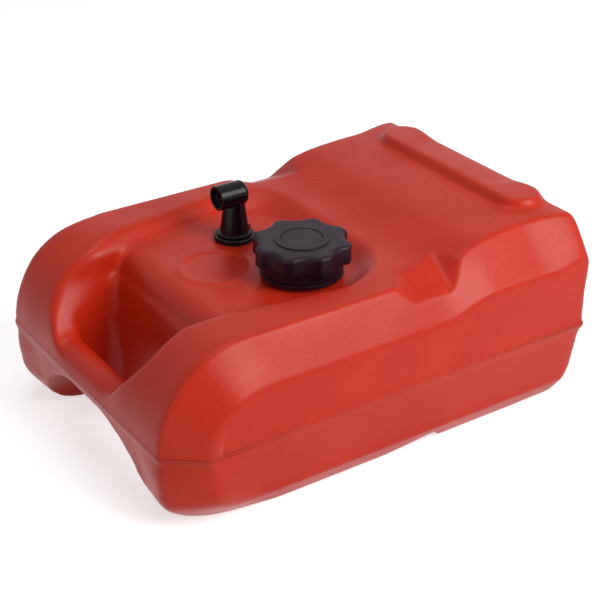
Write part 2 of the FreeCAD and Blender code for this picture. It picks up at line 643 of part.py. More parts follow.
def tank_shell():
    """Hollow moulded body with its filler neck, outlet boss and blank ring."""
    cap_at, outlet_at = (CAP_X, CAP_Y), (OUTLET_X, OUTLET_Y)
    shell = body_form(0.0).cut(body_form(WALL))
    ceiling = DECK_HEIGHT - WALL
    boss = tube(ADAPTER_STEM + STEM_GAP + BOSS_WALL, 0, DECK_HEIGHT - BOSS_DROP, ceiling + 1, outlet_at)
    neck = rod(NECK_RADIUS, ceiling + 1, DECK_HEIGHT + NECK_HEIGHT, cap_at)
    ring_top = DECK_HEIGHT + RING_HEIGHT
    ring = tube(RING_OUTER, RING_OUTER - RING_WIDTH, DECK_HEIGHT - 1, ring_top, (RING_X, RING_Y))
    shell = shell.fuse([boss, neck, ring])
    bore = rod(NECK_BORE, ceiling - 5, DECK_HEIGHT + NECK_HEIGHT + 1, cap_at)
    hole = rod(ADAPTER_STEM + STEM_GAP, ceiling - BOSS_DROP - 5, DECK_HEIGHT + 1, outlet_at)
    return shell.cut([bore, hole]).removeSplitter()


# ---- cap -----------------------------------------------------------------------------
CAP_AT = (CAP_X, CAP_Y)
RIM = DECK_HEIGHT + NECK_HEIGHT
CUP_INNER = NECK_RADIUS + CUP_GAP
CUP_OUTER = CUP_INNER + CUP_WALL
CUP_PLATE = RIM + GASKET_THICK
CUP_CROWN = CUP_PLATE + CUP_TOP
CUP_FOOT = DECK_HEIGHT + CAP_LIFT_GAP
GRIP_FOOT = CUP_FOOT + FLANGE_HEIGHT + 0.6
FLANGE_RADIUS = CUP_OUTER + FLANGE_STEP
GRIP_INNER = CUP_OUTER + GRIP_GAP
GRIP_RADIUS = GRIP_INNER + GRIP_WALL
LOBE_RADIUS = GRIP_RADIUS + LOBE_STEP
RATCHET_RADIUS = GRIP_INNER - RATCHET_GAP
GRIP_CROWN = DECK_HEIGHT + GRIP_HEIGHT - CROWN_RING_HEIGHT
GRIP_CEILING = GRIP_CROWN - GRIP_TOP
SNAP_LOW = GRIP_FOOT + 3.0
SNAP_DEPTH = 0.8
VALVE_FLOOR = CUP_PLATE - VALVE_DEPTH
CHAMBER_FLOOR = VALVE_FLOOR + 2.0
RETAINER_LOW = CUP_CROWN + 0.2
PAWL_BASE = 1.2
PAWL_THICK = 1.1


def cap_gasket():
    """Flat seal that lies on the neck's rim."""
    return tube(CUP_INNER - FACE_GAP, NECK_BORE + FACE_GAP, RIM, CUP_PLATE, CAP_AT)


def cap_inner_cup():
    """Threaded inner cap with the flange that shows below the grip."""
    cup = revolve([
        (CUP_INNER, CUP_FOOT), (FLANGE_RADIUS, CUP_FOOT), (FLANGE_RADIUS, CUP_FOOT + FLANGE_HEIGHT),
        (CUP_OUTER, CUP_FOOT + FLANGE_HEIGHT), (CUP_OUTER, SNAP_LOW),
        (CUP_OUTER - SNAP_DEPTH, SNAP_LOW), (CUP_OUTER - SNAP_DEPTH, SNAP_LOW + SNAP_RING_HEIGHT),
        (CUP_OUTER, SNAP_LOW + SNAP_RING_HEIGHT), (CUP_OUTER, CUP_CROWN),
        (VALVE_RADIUS + TOUCH, CUP_CROWN), (VALVE_RADIUS + TOUCH, CUP_PLATE), (CUP_INNER, CUP_PLATE),
    ], CAP_AT)
    return cup


def cap_snap_ring():
    """Split ring that keeps the grip on the inner cup and lets it turn."""
    low, high = SNAP_LOW + TOUCH, SNAP_LOW + SNAP_RING_HEIGHT - TOUCH
    ring = tube(GRIP_INNER + SNAP_DEPTH - TOUCH, CUP_OUTER - SNAP_DEPTH + TOUCH, low, high, CAP_AT)
    slot = Part.makeBox(GRIP_RADIUS, SNAP_SLOT, high - low + 2, V(CAP_X, CAP_Y - SNAP_SLOT / 2, low - 1))
    return ring.cut(slot)


def lobed_head(radius, low, high):
    """Head of the grip: a round block with scallops between its lobes."""
    head = rod(radius, low, high, CAP_AT)
    centre = radius - SCALLOP_DEPTH + SCALLOP_RADIUS
    scallops = []
    for i in range(LOBE_COUNT):
        turn = math.radians(LOBE_PHASE + (i + 0.5) * 360.0 / LOBE_COUNT)
        at = (CAP_X + centre * math.cos(turn), CAP_Y + centre * math.sin(turn))
        scallops.append(rod(SCALLOP_RADIUS, low - 1, high + 1, at))
    head = head.cut(scallops)
    upright = [e for e in head.Edges if e.BoundBox.ZLength > 0.9 * (high - low)]
    head = head.makeFillet(LOBE_TIP_ROUND, upright)
    rim = [e for e in head.Edges if e.BoundBox.ZMin > high - 0.1]
    return head.makeFillet(LOBE_RIM_ROUND, rim)


def ratchet_teeth():
    """Ring of ramped teeth under the grip's crown."""
    pitch = 2 * math.pi * (RATCHET_RADIUS - RATCHET_WIDTH / 2) / RATCHET_TEETH
    length = 0.94 * pitch
    teeth = []
    for i in range(RATCHET_TEETH):
        start = V(RATCHET_RADIUS - RATCHET_WIDTH, 0, GRIP_CEILING + 0.2)
        deep = start + V(0, 0, -TOOTH_HEIGHT - 0.2)
        profile = [start, deep, start + V(0, length, -0.2), start + V(0, length, 0)]
        tooth = prism(profile, V(RATCHET_WIDTH, 0, 0))
        tooth.rotate(V(0, 0, 0), V(0, 0, 1), LOBE_PHASE + i * 360.0 / RATCHET_TEETH)
        tooth.translate(V(CAP_X, CAP_Y, 0))
        teeth.append(tooth)
    return teeth


def cap_grip():
    """Lobed outer cap, with the ratchet teeth under its crown."""
    head_low = DECK_HEIGHT + GRIP_HEIGHT - LOBE_HEIGHT
    grip = lobed_head(LOBE_RADIUS, head_low, GRIP_CROWN)
    grip = grip.fuse([rod(GRIP_RADIUS, GRIP_FOOT, head_low + 1, CAP_AT),
                      tube(CROWN_RING_RADIUS, 0, GRIP_CROWN - 1, GRIP_CROWN + CROWN_RING_HEIGHT, CAP_AT)])
    hollow = revolve([
        (0, GRIP_FOOT - 1), (GRIP_INNER, GRIP_FOOT - 1), (GRIP_INNER, SNAP_LOW),
        (GRIP_INNER + SNAP_DEPTH, SNAP_LOW), (GRIP_INNER + SNAP_DEPTH, SNAP_LOW + SNAP_RING_HEIGHT),
        (GRIP_INNER, SNAP_LOW + SNAP_RING_HEIGHT), (GRIP_INNER, GRIP_CEILING), (0, GRIP_CEILING),
    ], CAP_AT)
    seat = rod(DISC_RADIUS + 0.1, disc_floor(), GRIP_CROWN + 5, CAP_AT)
    return grip.cut([hollow, seat]).fuse(ratchet_teeth()).removeSplitter()


def disc_floor():
    """Height of the seat that the cover disc lies on."""
    return GRIP_CROWN + 0.6 - DISC_THICK


def cap_cover_disc():
    """Round disc set into the crown of the grip."""
    low = disc_floor()
    disc = rod(DISC_RADIUS, low, low + DISC_THICK, CAP_AT)
    edge = [e for e in disc.Edges if e.BoundBox.ZMin > low + DISC_THICK - 0.1]
    return disc.makeChamfer(0.5, edge)


def cap_ratchet_ring():
    """Spring ring whose pawls drive the teeth one way and click over the other way."""
    inner, outer = RATCHET_RADIUS - RATCHET_WIDTH, RATCHET_RADIUS
    ring = tube(outer, inner, CUP_CROWN, CUP_CROWN + PAWL_BASE, CAP_AT)
    tip = GRIP_CEILING - 0.4
    start = (inner + outer - PAWL_WIDTH) / 2
    pawls = []
    for i in range(PAWL_COUNT):
        root = V(start, -PAWL_REACH - 0.6, CUP_CROWN + PAWL_BASE - 0.4)
        end = V(start, -0.6, tip)
        back = end + V(0, -1.2, 0)
        down = V(0, 0, -PAWL_THICK)
        profile = [root, back + down, end + down, end, back, root - down]
        pawl = prism(profile, V(PAWL_WIDTH, 0, 0))
        pawl.rotate(V(0, 0, 0), V(0, 0, 1), LOBE_PHASE + i * 360.0 / PAWL_COUNT)
        pawl.translate(V(CAP_X, CAP_Y, 0))
        pawls.append(pawl)
    return ring.fuse(pawls).removeSplitter()


# ---- pressure relief valve -----------------------------------------------------------
def relief_valve_body():
    """Small cup in the middle of the inner cap that carries the relief valve."""
    chamber = VALVE_RADIUS - VALVE_WALL
    return revolve([
        (VALVE_SEAT, VALVE_FLOOR), (VALVE_RADIUS, VALVE_FLOOR), (VALVE_RADIUS, CUP_CROWN),
        (VALVE_RADIUS + 1.8, CUP_CROWN), (VALVE_RADIUS + 1.8, CUP_CROWN + 1.4), (chamber, CUP_CROWN + 1.4),
        (chamber, CHAMBER_FLOOR), (VALVE_SEAT, CHAMBER_FLOOR),
    ], CAP_AT)


def relief_poppet():
    """Valve plate on the seat, with small air holes under its rubber valve."""
    low = CHAMBER_FLOOR + TOUCH
    plate = rod(POPPET_RADIUS, low, low + POPPET_THICK, CAP_AT)
    top = low + POPPET_THICK + COLLAR_HEIGHT
    collar = tube(RELIEF_COIL - RELIEF_WIRE - FACE_GAP, POPPET_STEM, low, top, CAP_AT)
    holes = [rod(VACUUM_STEM + TOUCH, low - 1, low + 4, CAP_AT)]
    for i in range(4):
        turn = math.pi / 4 + i * math.pi / 2
        at = (CAP_X + AIR_HOLE_CIRCLE * math.cos(turn), CAP_Y + AIR_HOLE_CIRCLE * math.sin(turn))
        holes.append(rod(AIR_HOLE, low - 1, low + 4, at))
    return plate.fuse(collar).cut(holes)


def vacuum_valve():
    """Rubber umbrella valve that hangs through the poppet and lets air in."""
    top = CHAMBER_FLOOR + TOUCH
    head = top + POPPET_THICK
    return revolve([
        (0, top - 1.1), (1.2, top - 1.1), (3.4, top - 0.4), (3.4, top - TOUCH), (VACUUM_STEM, top - TOUCH),
        (VACUUM_STEM, head + TOUCH), (1.35, head + TOUCH), (1.1, head + 1.6), (0, head + 1.8),
    ], CAP_AT)


def relief_spring():
    """Spring that holds the poppet on its seat."""
    low = CHAMBER_FLOOR + TOUCH + POPPET_THICK
    return spring(RELIEF_COIL, RELIEF_WIRE, low + TOUCH, RETAINER_LOW - TOUCH, RELIEF_TURNS, CAP_AT)


def relief_retainer():
    """Perforated disc that closes the valve body over the spring."""
    radius = VALVE_RADIUS - VALVE_WALL - TOUCH
    disc = rod(radius, RETAINER_LOW, RETAINER_LOW + RETAINER_THICK, CAP_AT)
    holes = []
    for i in range(4):
        turn = i * math.pi / 2
        at = (CAP_X + RETAINER_CIRCLE * math.cos(turn), CAP_Y + RETAINER_CIRCLE * math.sin(turn))
        holes.append(rod(RETAINER_HOLE, RETAINER_LOW - 1, RETAINER_LOW + 3, at))
    return disc.cut(holes)


# ---- fuel outlet ---------------------------------------------------------------------
OUTLET_AT = (OUTLET_X, OUTLET_Y)
FLANGE_LOW = DECK_HEIGHT + OUTLET_GASKET
FLANGE_TOP = FLANGE_LOW + ADAPTER_FLANGE_HEIGHT
PLUG_END = FLANGE_TOP - PLUG_DEPTH
BALL_RISE = math.sqrt(BALL_RADIUS ** 2 - SEAT_HOLE ** 2) + TOUCH
SPRING_ROOM = 6.0
SEAT_TOP = PLUG_END - SPRING_ROOM - BALL_RADIUS - BALL_RISE
BALL_CENTRE = SEAT_TOP + BALL_RISE
ADAPTER_END = SEAT_TOP - SEAT_THICK - SEAT_SHELF - TUBE_SOCKET
SEAL_HEIGHT = FLANGE_TOP - 0.5 * PLUG_DEPTH


def outlet_gasket():
    """Seal between the deck and the adapter's flange."""
    return tube(ADAPTER_FLANGE - 1.0, ADAPTER_STEM + 0.4, DECK_HEIGHT, FLANGE_LOW, OUTLET_AT)


def outlet_adapter():
    """Flanged foot of the outlet, with the check valve's chamber in its stem."""
    chamber = BALL_RADIUS + BALL_GAP
    boss_low = DECK_HEIGHT - BOSS_DROP
    socket = TUBE_RADIUS + TOUCH
    seal_bore = PLUG_RADIUS + PLUG_GAP
    shelf = SEAT_TOP - SEAT_THICK
    return revolve([
        (socket, ADAPTER_END), (ADAPTER_STEM - 2.0, ADAPTER_END), (ADAPTER_STEM - 1.0, ADAPTER_END + 1.5),
        (ADAPTER_STEM - 1.0, boss_low - 1), (ADAPTER_STEM, boss_low), (ADAPTER_STEM, FLANGE_LOW),
        (ADAPTER_FLANGE, FLANGE_LOW), (ADAPTER_FLANGE, FLANGE_TOP - 0.8), (ADAPTER_FLANGE - 0.8, FLANGE_TOP),
        (seal_bore, FLANGE_TOP), (seal_bore, PLUG_END - TOUCH), (chamber, PLUG_END - TOUCH),
        (chamber, shelf), (TUBE_BORE, shelf), (TUBE_BORE, ADAPTER_END + TUBE_SOCKET),
        (socket, ADAPTER_END + TUBE_SOCKET),
    ], OUTLET_AT)


def outlet_elbow():
    """Elbow with a female port; its spigot drops into the adapter."""
    axis_z = DECK_HEIGHT + PORT_AXIS
    foot_top = FLANGE_TOP + ELBOW_FOOT_HEIGHT
    groove = SEAL_WIRE + 0.15
    groove_floor = PLUG_RADIUS - 2 * SEAL_WIRE
    stem = revolve([
        (0, PLUG_END), (PLUG_RADIUS, PLUG_END), (PLUG_RADIUS, SEAL_HEIGHT - groove),
        (groove_floor, SEAL_HEIGHT - groove), (groove_floor, SEAL_HEIGHT + groove),
        (PLUG_RADIUS, SEAL_HEIGHT + groove), (PLUG_RADIUS, FLANGE_TOP), (ELBOW_FOOT, FLANGE_TOP),
        (ELBOW_FOOT, foot_top - 0.8), (ELBOW_FOOT - 0.8, foot_top), (ELBOW_BASE, foot_top),
        (ELBOW_NECK, axis_z - 4), (0, axis_z - 4),
    ], OUTLET_AT)
    along = V(1, 0, 0)
    mouth = V(OUTLET_X - PORT_REACH, OUTLET_Y, axis_z)
    port = Part.makeCylinder(PORT_RADIUS, PORT_REACH + PORT_TAIL, mouth, along)
    tail = [e for e in port.Edges if e.BoundBox.XMin > OUTLET_X + PORT_TAIL - 0.1]
    port = port.makeFillet(PORT_TAIL_ROUND, tail)
    edge = V(OUTLET_X, OUTLET_Y - RIB_THICK / 2, 0)
    rib_high, rib_low = axis_z - 6, foot_top - 0.5
    rib_profile = [edge + V(ELBOW_NECK - 2, 0, rib_high), edge + V(ELBOW_NECK + 1.2, 0, rib_high),
                   edge + V(ELBOW_BASE + 1, 0, rib_low), edge + V(ELBOW_BASE - 2, 0, rib_low)]
    rib = prism(rib_profile, V(0, RIB_THICK, 0))
    lug = Part.makeBox(LUG_LENGTH, LUG_WIDTH, LUG_LENGTH,
                       V(OUTLET_X + ELBOW_BASE - 1, OUTLET_Y - LUG_WIDTH / 2, foot_top - 0.5))
    body = stem.fuse([port, rib, lug])
    bores = [
        rod(ELBOW_PASSAGE, PLUG_END - 1, axis_z, OUTLET_AT),
        Part.makeCylinder(PORT_MOUTH, PORT_MOUTH_DEPTH, mouth, along),
        Part.makeCylinder(PORT_BORE, PORT_MOUTH_DEPTH + PORT_BORE_LENGTH, mouth, along),
        Part.makeCylinder(ELBOW_PASSAGE, PORT_REACH + ELBOW_PASSAGE, mouth, along),
    ]
    return body.cut(bores).removeSplitter()


def elbow_seal_ring():
    """O-ring in the spigot's groove."""
    major = PLUG_RADIUS + PLUG_GAP - SEAL_WIRE - TOUCH
    section = []
    for i in range(WIRE_SIDES + 2):
        turn = 2 * math.pi * i / (WIRE_SIDES + 2)
        section.append((major + SEAL_WIRE * math.cos(turn), SEAL_HEIGHT + SEAL_WIRE * math.sin(turn)))
    return revolve(section, OUTLET_AT)


def check_seat():
    """Seat ring of the check valve."""
    return tube(BALL_RADIUS + BALL_GAP - TOUCH, SEAT_HOLE, SEAT_TOP - SEAT_THICK, SEAT_TOP, OUTLET_AT)


def check_ball():
    """Ball that closes the outlet until fuel is drawn."""
    return Part.makeSphere(BALL_RADIUS, V(OUTLET_X, OUTLET_Y, BALL_CENTRE))


def check_spring():
    """Spring that holds the ball on its seat."""
    low = BALL_CENTRE + math.sqrt(BALL_RADIUS ** 2 - (CHECK_COIL - CHECK_WIRE) ** 2)
    return spring(CHECK_COIL, CHECK_WIRE, low, PLUG_END - TOUCH, CHECK_TURNS, OUTLET_AT)


def strainer_low():
    """Height of the strainer's closed end."""
    return WALL + STRAINER_FLOOR_GAP


def dip_tube():
    """Pick-up tube from the adapter down to the strainer."""
    end = strainer_low() + 0.45 * STRAINER_LENGTH
    return tube(TUBE_RADIUS, TUBE_BORE, end, ADAPTER_END + TUBE_SOCKET - TOUCH, OUTLET_AT)


def strainer_cage():
    """Ribbed cage that grips the tube's end."""
    low = strainer_low()
    high = low + STRAINER_LENGTH
    cage = tube(STRAINER_RADIUS, 0, low, low + STRAINER_CAP, OUTLET_AT)
    collar = tube(STRAINER_RADIUS, TUBE_RADIUS + TOUCH, high - STRAINER_COLLAR, high, OUTLET_AT)
    bar_at = V(STRAINER_RADIUS - STRAINER_BAR, -0.8, low + 1)
    bars = []
    for i in range(STRAINER_BARS):
        turn = i * 360.0 / STRAINER_BARS
        bar = Part.makeBox(STRAINER_BAR, 1.6, STRAINER_LENGTH - STRAINER_COLLAR, bar_at)
        bar.rotate(V(0, 0, 0), V(0, 0, 1), turn)
        bar.translate(V(OUTLET_X, OUTLET_Y, 0))
        bars.append(bar)
    return cage.fuse([collar] + bars).removeSplitter()


def strainer_screen():
    """Fine sleeve inside the cage."""
    low, high = strainer_low() + STRAINER_CAP, strainer_low() + STRAINER_LENGTH - STRAINER_COLLAR
    outer = STRAINER_RADIUS - STRAINER_BAR - TOUCH
    return tube(outer, outer - SCREEN_WALL, low, high, OUTLET_AT)


PIECES = [
    tank_shell, cap_grip, cap_cover_disc, cap_inner_cup, cap_snap_ring, cap_ratchet_ring, cap_gasket,
    relief_valve_body, relief_poppet, vacuum_valve, relief_spring, relief_retainer,
    outlet_gasket, outlet_adapter, outlet_elbow, elbow_seal_ring, check_seat, check_ball, check_spring,
    dip_tube, strainer_cage, strainer_screen,
]

if __name__ == "__main__":
    os.makedirs("parts", exist_ok=True)
    for piece in PIECES:
        save(piece.__name__, piece())
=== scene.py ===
"""Portable outboard fuel tank: finishes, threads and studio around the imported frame.

Everything is in metres, in the frame's own axes: +X runs from the handle bar to the plain
end, +Y across the tank towards the outlet's side, and +Z is up.
"""

import logging
import math
from dataclasses import dataclass
from enum import Enum
from typing import ClassVar

import bmesh
import bpy
from mathutils import Matrix, Vector


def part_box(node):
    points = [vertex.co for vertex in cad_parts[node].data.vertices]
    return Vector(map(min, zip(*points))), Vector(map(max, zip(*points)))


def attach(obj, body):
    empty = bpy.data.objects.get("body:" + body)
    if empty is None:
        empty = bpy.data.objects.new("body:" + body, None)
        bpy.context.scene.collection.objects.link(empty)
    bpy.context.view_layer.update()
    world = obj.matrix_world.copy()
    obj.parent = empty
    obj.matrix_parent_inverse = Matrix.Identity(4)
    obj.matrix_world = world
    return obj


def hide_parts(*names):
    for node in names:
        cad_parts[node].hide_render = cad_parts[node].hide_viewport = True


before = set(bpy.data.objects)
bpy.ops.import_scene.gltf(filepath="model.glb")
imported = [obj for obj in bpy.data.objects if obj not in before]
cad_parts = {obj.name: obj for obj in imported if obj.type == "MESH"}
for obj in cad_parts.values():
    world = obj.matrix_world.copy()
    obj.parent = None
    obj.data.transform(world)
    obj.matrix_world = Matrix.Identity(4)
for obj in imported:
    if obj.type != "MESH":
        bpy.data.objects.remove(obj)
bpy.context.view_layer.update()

LOG = logging.getLogger("fuel_tank")
MM = 0.001
SHARP_ANGLE = math.radians(35)
CAD_MERGE = 1e-6                     # distance that joins the corners of a CAD mesh
THREAD_MERGE = 1e-7                  # the same for a swept ridge
Colour = tuple[float, float, float]
Triple = tuple[float, float, float]
Span = tuple[float, float]


class Slot(Enum):
    """The record's material slots that pieces take their finish from."""

    TANK = "tank_plastic"
    CAP = "cap_plastic"
    OUTLET = "outlet_plastic"
    SEAL = "seal_rubber"
    SPRING = "spring_steel"
    NATURAL = "tube_plastic"
    SCREEN = "screen_mesh"
    BALL = "ball_steel"


class Body(Enum):
    """The frame's bodies."""

    TANK = "tank"
    CAP_CORE = "cap_core"


# ---- node graphs ---------------------------------------------------------------------
class Graph:
    """Adds and joins nodes in one node tree."""

    def __init__(self, tree: bpy.types.NodeTree) -> None:
        """Start on an emptied tree.

        Args:
            tree: the tree to build in.
        """
        self.tree = tree
        tree.nodes.clear()

    def feed(self, socket: bpy.types.NodeSocket, value: object) -> None:
        """Link a socket to an input, or set the input's value.

        Args:
            socket: the input.
            value: a socket to link, or the value to set.
        """
        if isinstance(value, bpy.types.NodeSocket):
            self.tree.links.new(value, socket)
        else:
            socket.default_value = value

    def add(self, kind: str, **settings: object) -> bpy.types.Node:
        """Add a node, and set its properties and its inputs.

        Args:
            kind: the node's type name.
            settings: properties of the node, or input values with spaces written as "_".

        Returns:
            The new node.
        """
        node = self.tree.nodes.new(kind)
        for name, value in settings.items():
            if hasattr(node, name):
                setattr(node, name, value)
            else:
                self.feed(node.inputs[name.replace("_", " ")], value)
        return node

    def math(self, operation: str, first: object, second: object = 0.0) -> bpy.types.NodeSocket:
        """Arithmetic on two values or sockets.

        Args:
            operation: the Math node's operation.
            first: a number or a socket.
            second: a number or a socket.

        Returns:
            The result's socket.
        """
        node = self.add("ShaderNodeMath", operation=operation)
        for socket, value in zip(node.inputs, (first, second)):
            self.feed(socket, value)
        return node.outputs[0]

    def remap(self, value: bpy.types.NodeSocket, low: float, high: float,
              start: float = 0.0, end: float = 1.0) -> bpy.types.NodeSocket:
        """Stretch the range low to high of a value over start to end, and clamp it.

        Args:
            value: the socket to read.
            low: input that gives start.
            high: input that gives end.
            start: result at low.
            end: result at high.

        Returns:
            The result's socket.
        """
        node = self.add("ShaderNodeMapRange", Value=value, From_Min=low, From_Max=high,
                        To_Min=start, To_Max=end)
        return node.outputs["Result"]

    def blend(self, factor: bpy.types.NodeSocket, first: object, second: object) -> bpy.types.NodeSocket:
        """Mix two colours.

        Args:
            factor: 0 gives the first colour and 1 the second.
            first: a colour or a socket.
            second: a colour or a socket.

        Returns:
            The mixed colour's socket.
        """
        node = self.add("ShaderNodeMix", data_type="RGBA", clamp_factor=True)
        self.feed(node.inputs["Factor"], factor)
        for socket, value in zip((node.inputs[6], node.inputs[7]), (first, second)):
            self.feed(socket, (*value, 1.0) if isinstance(value, tuple) else value)
        return node.outputs[2]

    def group(self, tree: bpy.types.NodeTree, **values: object) -> bpy.types.Node:
        """Place a node group and set its inputs.

        Args:
            tree: the group's tree.
            values: input values, with spaces written as "_".

        Returns:
            The group node.
        """
        node = self.tree.nodes.new("ShaderNodeGroup")
        node.node_tree = tree
        for name, value in values.items():
            self.feed(node.inputs[name.replace("_", " ")], value)
        return node

    def close(self, shader: bpy.types.Node, kind: str = "ShaderNodeOutputMaterial") -> None:
        """Link a shader to a new output node."""
        self.feed(self.add(kind).inputs[0], shader.outputs[0])


def blank_material(name: str) -> tuple[bpy.types.Material, Graph]:
    """Make an empty material.

    Args:
        name: the material's name.

    Returns:
        The material, and the graph to build it with.
    """
    made = bpy.data.materials.new(name)
    made.use_nodes = True
    return made, Graph(made.node_tree)


class Effects:
    """Node groups that several finishes share, each built once."""

    cloud_noise: ClassVar[Span] = (0.32, 0.68)      # noise values that give no cloud and full cloud
    edge_facing: ClassVar[Span] = (0.995, 0.86)     # rounded against true normal: flat, sharp edge
    edge_noise: ClassVar[Span] = (0.35, 0.65)       # noise values that break the painted edge highlight up
    edge_least: ClassVar[float] = 0.25              # what is left of the painted edge highlight where it is broken up
    seam_noise_scale: ClassVar[float] = 60.0
    seam_noise: ClassVar[Span] = (0.3, 0.6)         # noise values that break the seam's painted shade up
    seam_least: ClassVar[float] = 0.45              # what is left of the seam's painted shade where it is broken up
    seam_faded: ClassVar[float] = 0.12              # what is left of the seam's painted shade amid the side panels

    def __init__(self) -> None:
        """Build every group."""
        self.peel = self._peel()
        # mask of the painted highlight on sharp edges
        self.edges = self._edge_highlight()
        self.specks = self._specks()
        # mask of the painted shade, with some dirt, along the parting rib's edges
        self.seam = self._seam_shade()

    @staticmethod
    def _tree(name: str, inputs: dict[str, float], outputs: tuple[str, ...]) -> bpy.types.NodeTree:
        """Make an empty group with float sockets.

        Args:
            name: the group's name.
            inputs: input names and their usual values.
            outputs: output names.

        Returns:
            The group's tree.
        """
        tree = bpy.data.node_groups.new(name, "ShaderNodeTree")
        for label, value in inputs.items():
            socket = tree.interface.new_socket(label, in_out="INPUT", socket_type="NodeSocketFloat")
            socket.default_value = value
        for label in outputs:
            tree.interface.new_socket(label, in_out="OUTPUT", socket_type="NodeSocketFloat")
        return tree

    def _peel(self) -> bpy.types.NodeTree:
        """Moulded skin: fine grain over slow waves.

        Returns:
            Group with outputs Height in metres and Cloud, a slow 0 to 1 variation.
        """
        tree = self._tree("moulded skin", {"Grain Scale": 900.0, "Grain Height": 0.00002,
                                           "Wave Scale": 30.0, "Wave Height": 0.0003},
                          ("Height", "Cloud"))
        graph = Graph(tree)
        given = graph.add("NodeGroupInput")
        place = graph.add("ShaderNodeTexCoord").outputs["Object"]
        grain = graph.add("ShaderNodeTexNoise", Vector=place, Scale=given.outputs["Grain Scale"],
                          Detail=3.0, Roughness=0.55)
        wave = graph.add("ShaderNodeTexNoise", Vector=place, Scale=given.outputs["Wave Scale"],
                         Detail=1.5, Roughness=0.4)
        fine = graph.math("MULTIPLY", grain.outputs[0], given.outputs["Grain Height"])
        slow = graph.math("MULTIPLY", wave.outputs[0], given.outputs["Wave Height"])
        result = graph.add("NodeGroupOutput")
        tree.links.new(graph.math("ADD", fine, slow), result.inputs["Height"])
        tree.links.new(graph.remap(wave.outputs[0], *self.cloud_noise), result.inputs["Cloud"])
        return tree

    def _edge_highlight(self) -> bpy.types.NodeTree:
        """Painted edge highlight: a mask that is 1 on sharp edges and 0 on flat skin.

        Returns:
            Group with output Mask.
        """
        tree = self._tree("handled edges", {"Radius": 0.002, "Break Scale": 120.0}, ("Mask",))
        graph = Graph(tree)
        given = graph.add("NodeGroupInput")
        round_off = graph.add("ShaderNodeBevel", samples=4, Radius=given.outputs["Radius"])
        facing = graph.add("ShaderNodeVectorMath", operation="DOT_PRODUCT")
        tree.links.new(round_off.outputs[0], facing.inputs[0])
        tree.links.new(graph.add("ShaderNodeNewGeometry").outputs["Normal"], facing.inputs[1])
        mask = graph.remap(facing.outputs["Value"], *self.edge_facing)
        place = graph.add("ShaderNodeTexCoord").outputs["Object"]
        noise = graph.add("ShaderNodeTexNoise", Vector=place, Scale=given.outputs["Break Scale"], Detail=4.0)
        broken = graph.remap(noise.outputs[0], *self.edge_noise, self.edge_least, 1.0)
        result = graph.add("NodeGroupOutput")
        tree.links.new(graph.math("MULTIPLY", mask, broken), result.inputs["Mask"])
        return tree

    def _specks(self) -> bpy.types.NodeTree:
        """Sparse small nicks and specks of grit.

        Returns:
            Group with output Mask.
        """
        tree = self._tree("specks", {"Scale": 90.0, "Size": 0.06, "Share": 0.3}, ("Mask",))
        graph = Graph(tree)
        given = graph.add("NodeGroupInput")
        place = graph.add("ShaderNodeTexCoord").outputs["Object"]
        cells = graph.add("ShaderNodeTexVoronoi", Vector=place, Scale=given.outputs["Scale"])
        near = graph.math("LESS_THAN", cells.outputs["Distance"], given.outputs["Size"])
        pick = graph.add("ShaderNodeSeparateColor")
        tree.links.new(cells.outputs["Color"], pick.inputs[0])
        chosen = graph.math("LESS_THAN", pick.outputs[0], given.outputs["Share"])
        result = graph.add("NodeGroupOutput")
        tree.links.new(graph.math("MULTIPLY", near, chosen), result.inputs["Mask"])
        return tree

    def _seam_shade(self) -> bpy.types.NodeTree:
        """Parting seam round the outside: two fine dark lines of painted shade, with some dirt, along the
        edges of a low rib.

        The lines fade in the middle of the side panels, where the rib sinks in.

        Returns:
            Group with output Mask.
        """
        tree = self._tree("parting seam", {"Height": 0.071, "Half Width": 0.0014, "Line": 0.0007,
                                           "Out": 0.115, "End": 0.188, "Fade Start": 0.085,
                                           "Fade End": 0.145}, ("Mask",))
        graph = Graph(tree)
        given = graph.add("NodeGroupInput").outputs
        place = graph.add("ShaderNodeTexCoord").outputs["Object"]
        split = graph.add("ShaderNodeSeparateXYZ", Vector=place).outputs
        across, along = graph.math("ABSOLUTE", split[1]), graph.math("ABSOLUTE", split[0])
        off = graph.math("ABSOLUTE", graph.math("SUBTRACT", split[2], given["Height"]))
        edge = graph.math("ABSOLUTE", graph.math("SUBTRACT", off, given["Half Width"]))
        line = graph.math("SUBTRACT", 1.0, graph.math("DIVIDE", edge, given["Line"]))
        line = graph.math("MAXIMUM", line, 0.0)
        outside = graph.math("MAXIMUM", graph.math("GREATER_THAN", across, given["Out"]),
                             graph.math("GREATER_THAN", along, given["End"]))
        beyond = graph.math("SUBTRACT", along, given["Fade Start"])
        reach = graph.math("SUBTRACT", given["Fade End"], given["Fade Start"])
        kept = graph.remap(graph.math("DIVIDE", beyond, reach), 0.0, 1.0, self.seam_faded, 1.0)
        noise = graph.add("ShaderNodeTexNoise", Vector=place, Scale=self.seam_noise_scale, Detail=2.0)
        broken = graph.remap(noise.outputs[0], *self.seam_noise, self.seam_least, 1.0)
        shown = graph.math("MULTIPLY", graph.math("MULTIPLY", line, outside),
                           graph.math("MULTIPLY", kept, broken))
        result = graph.add("NodeGroupOutput")
        tree.links.new(shown, result.inputs["Mask"])
        return tree


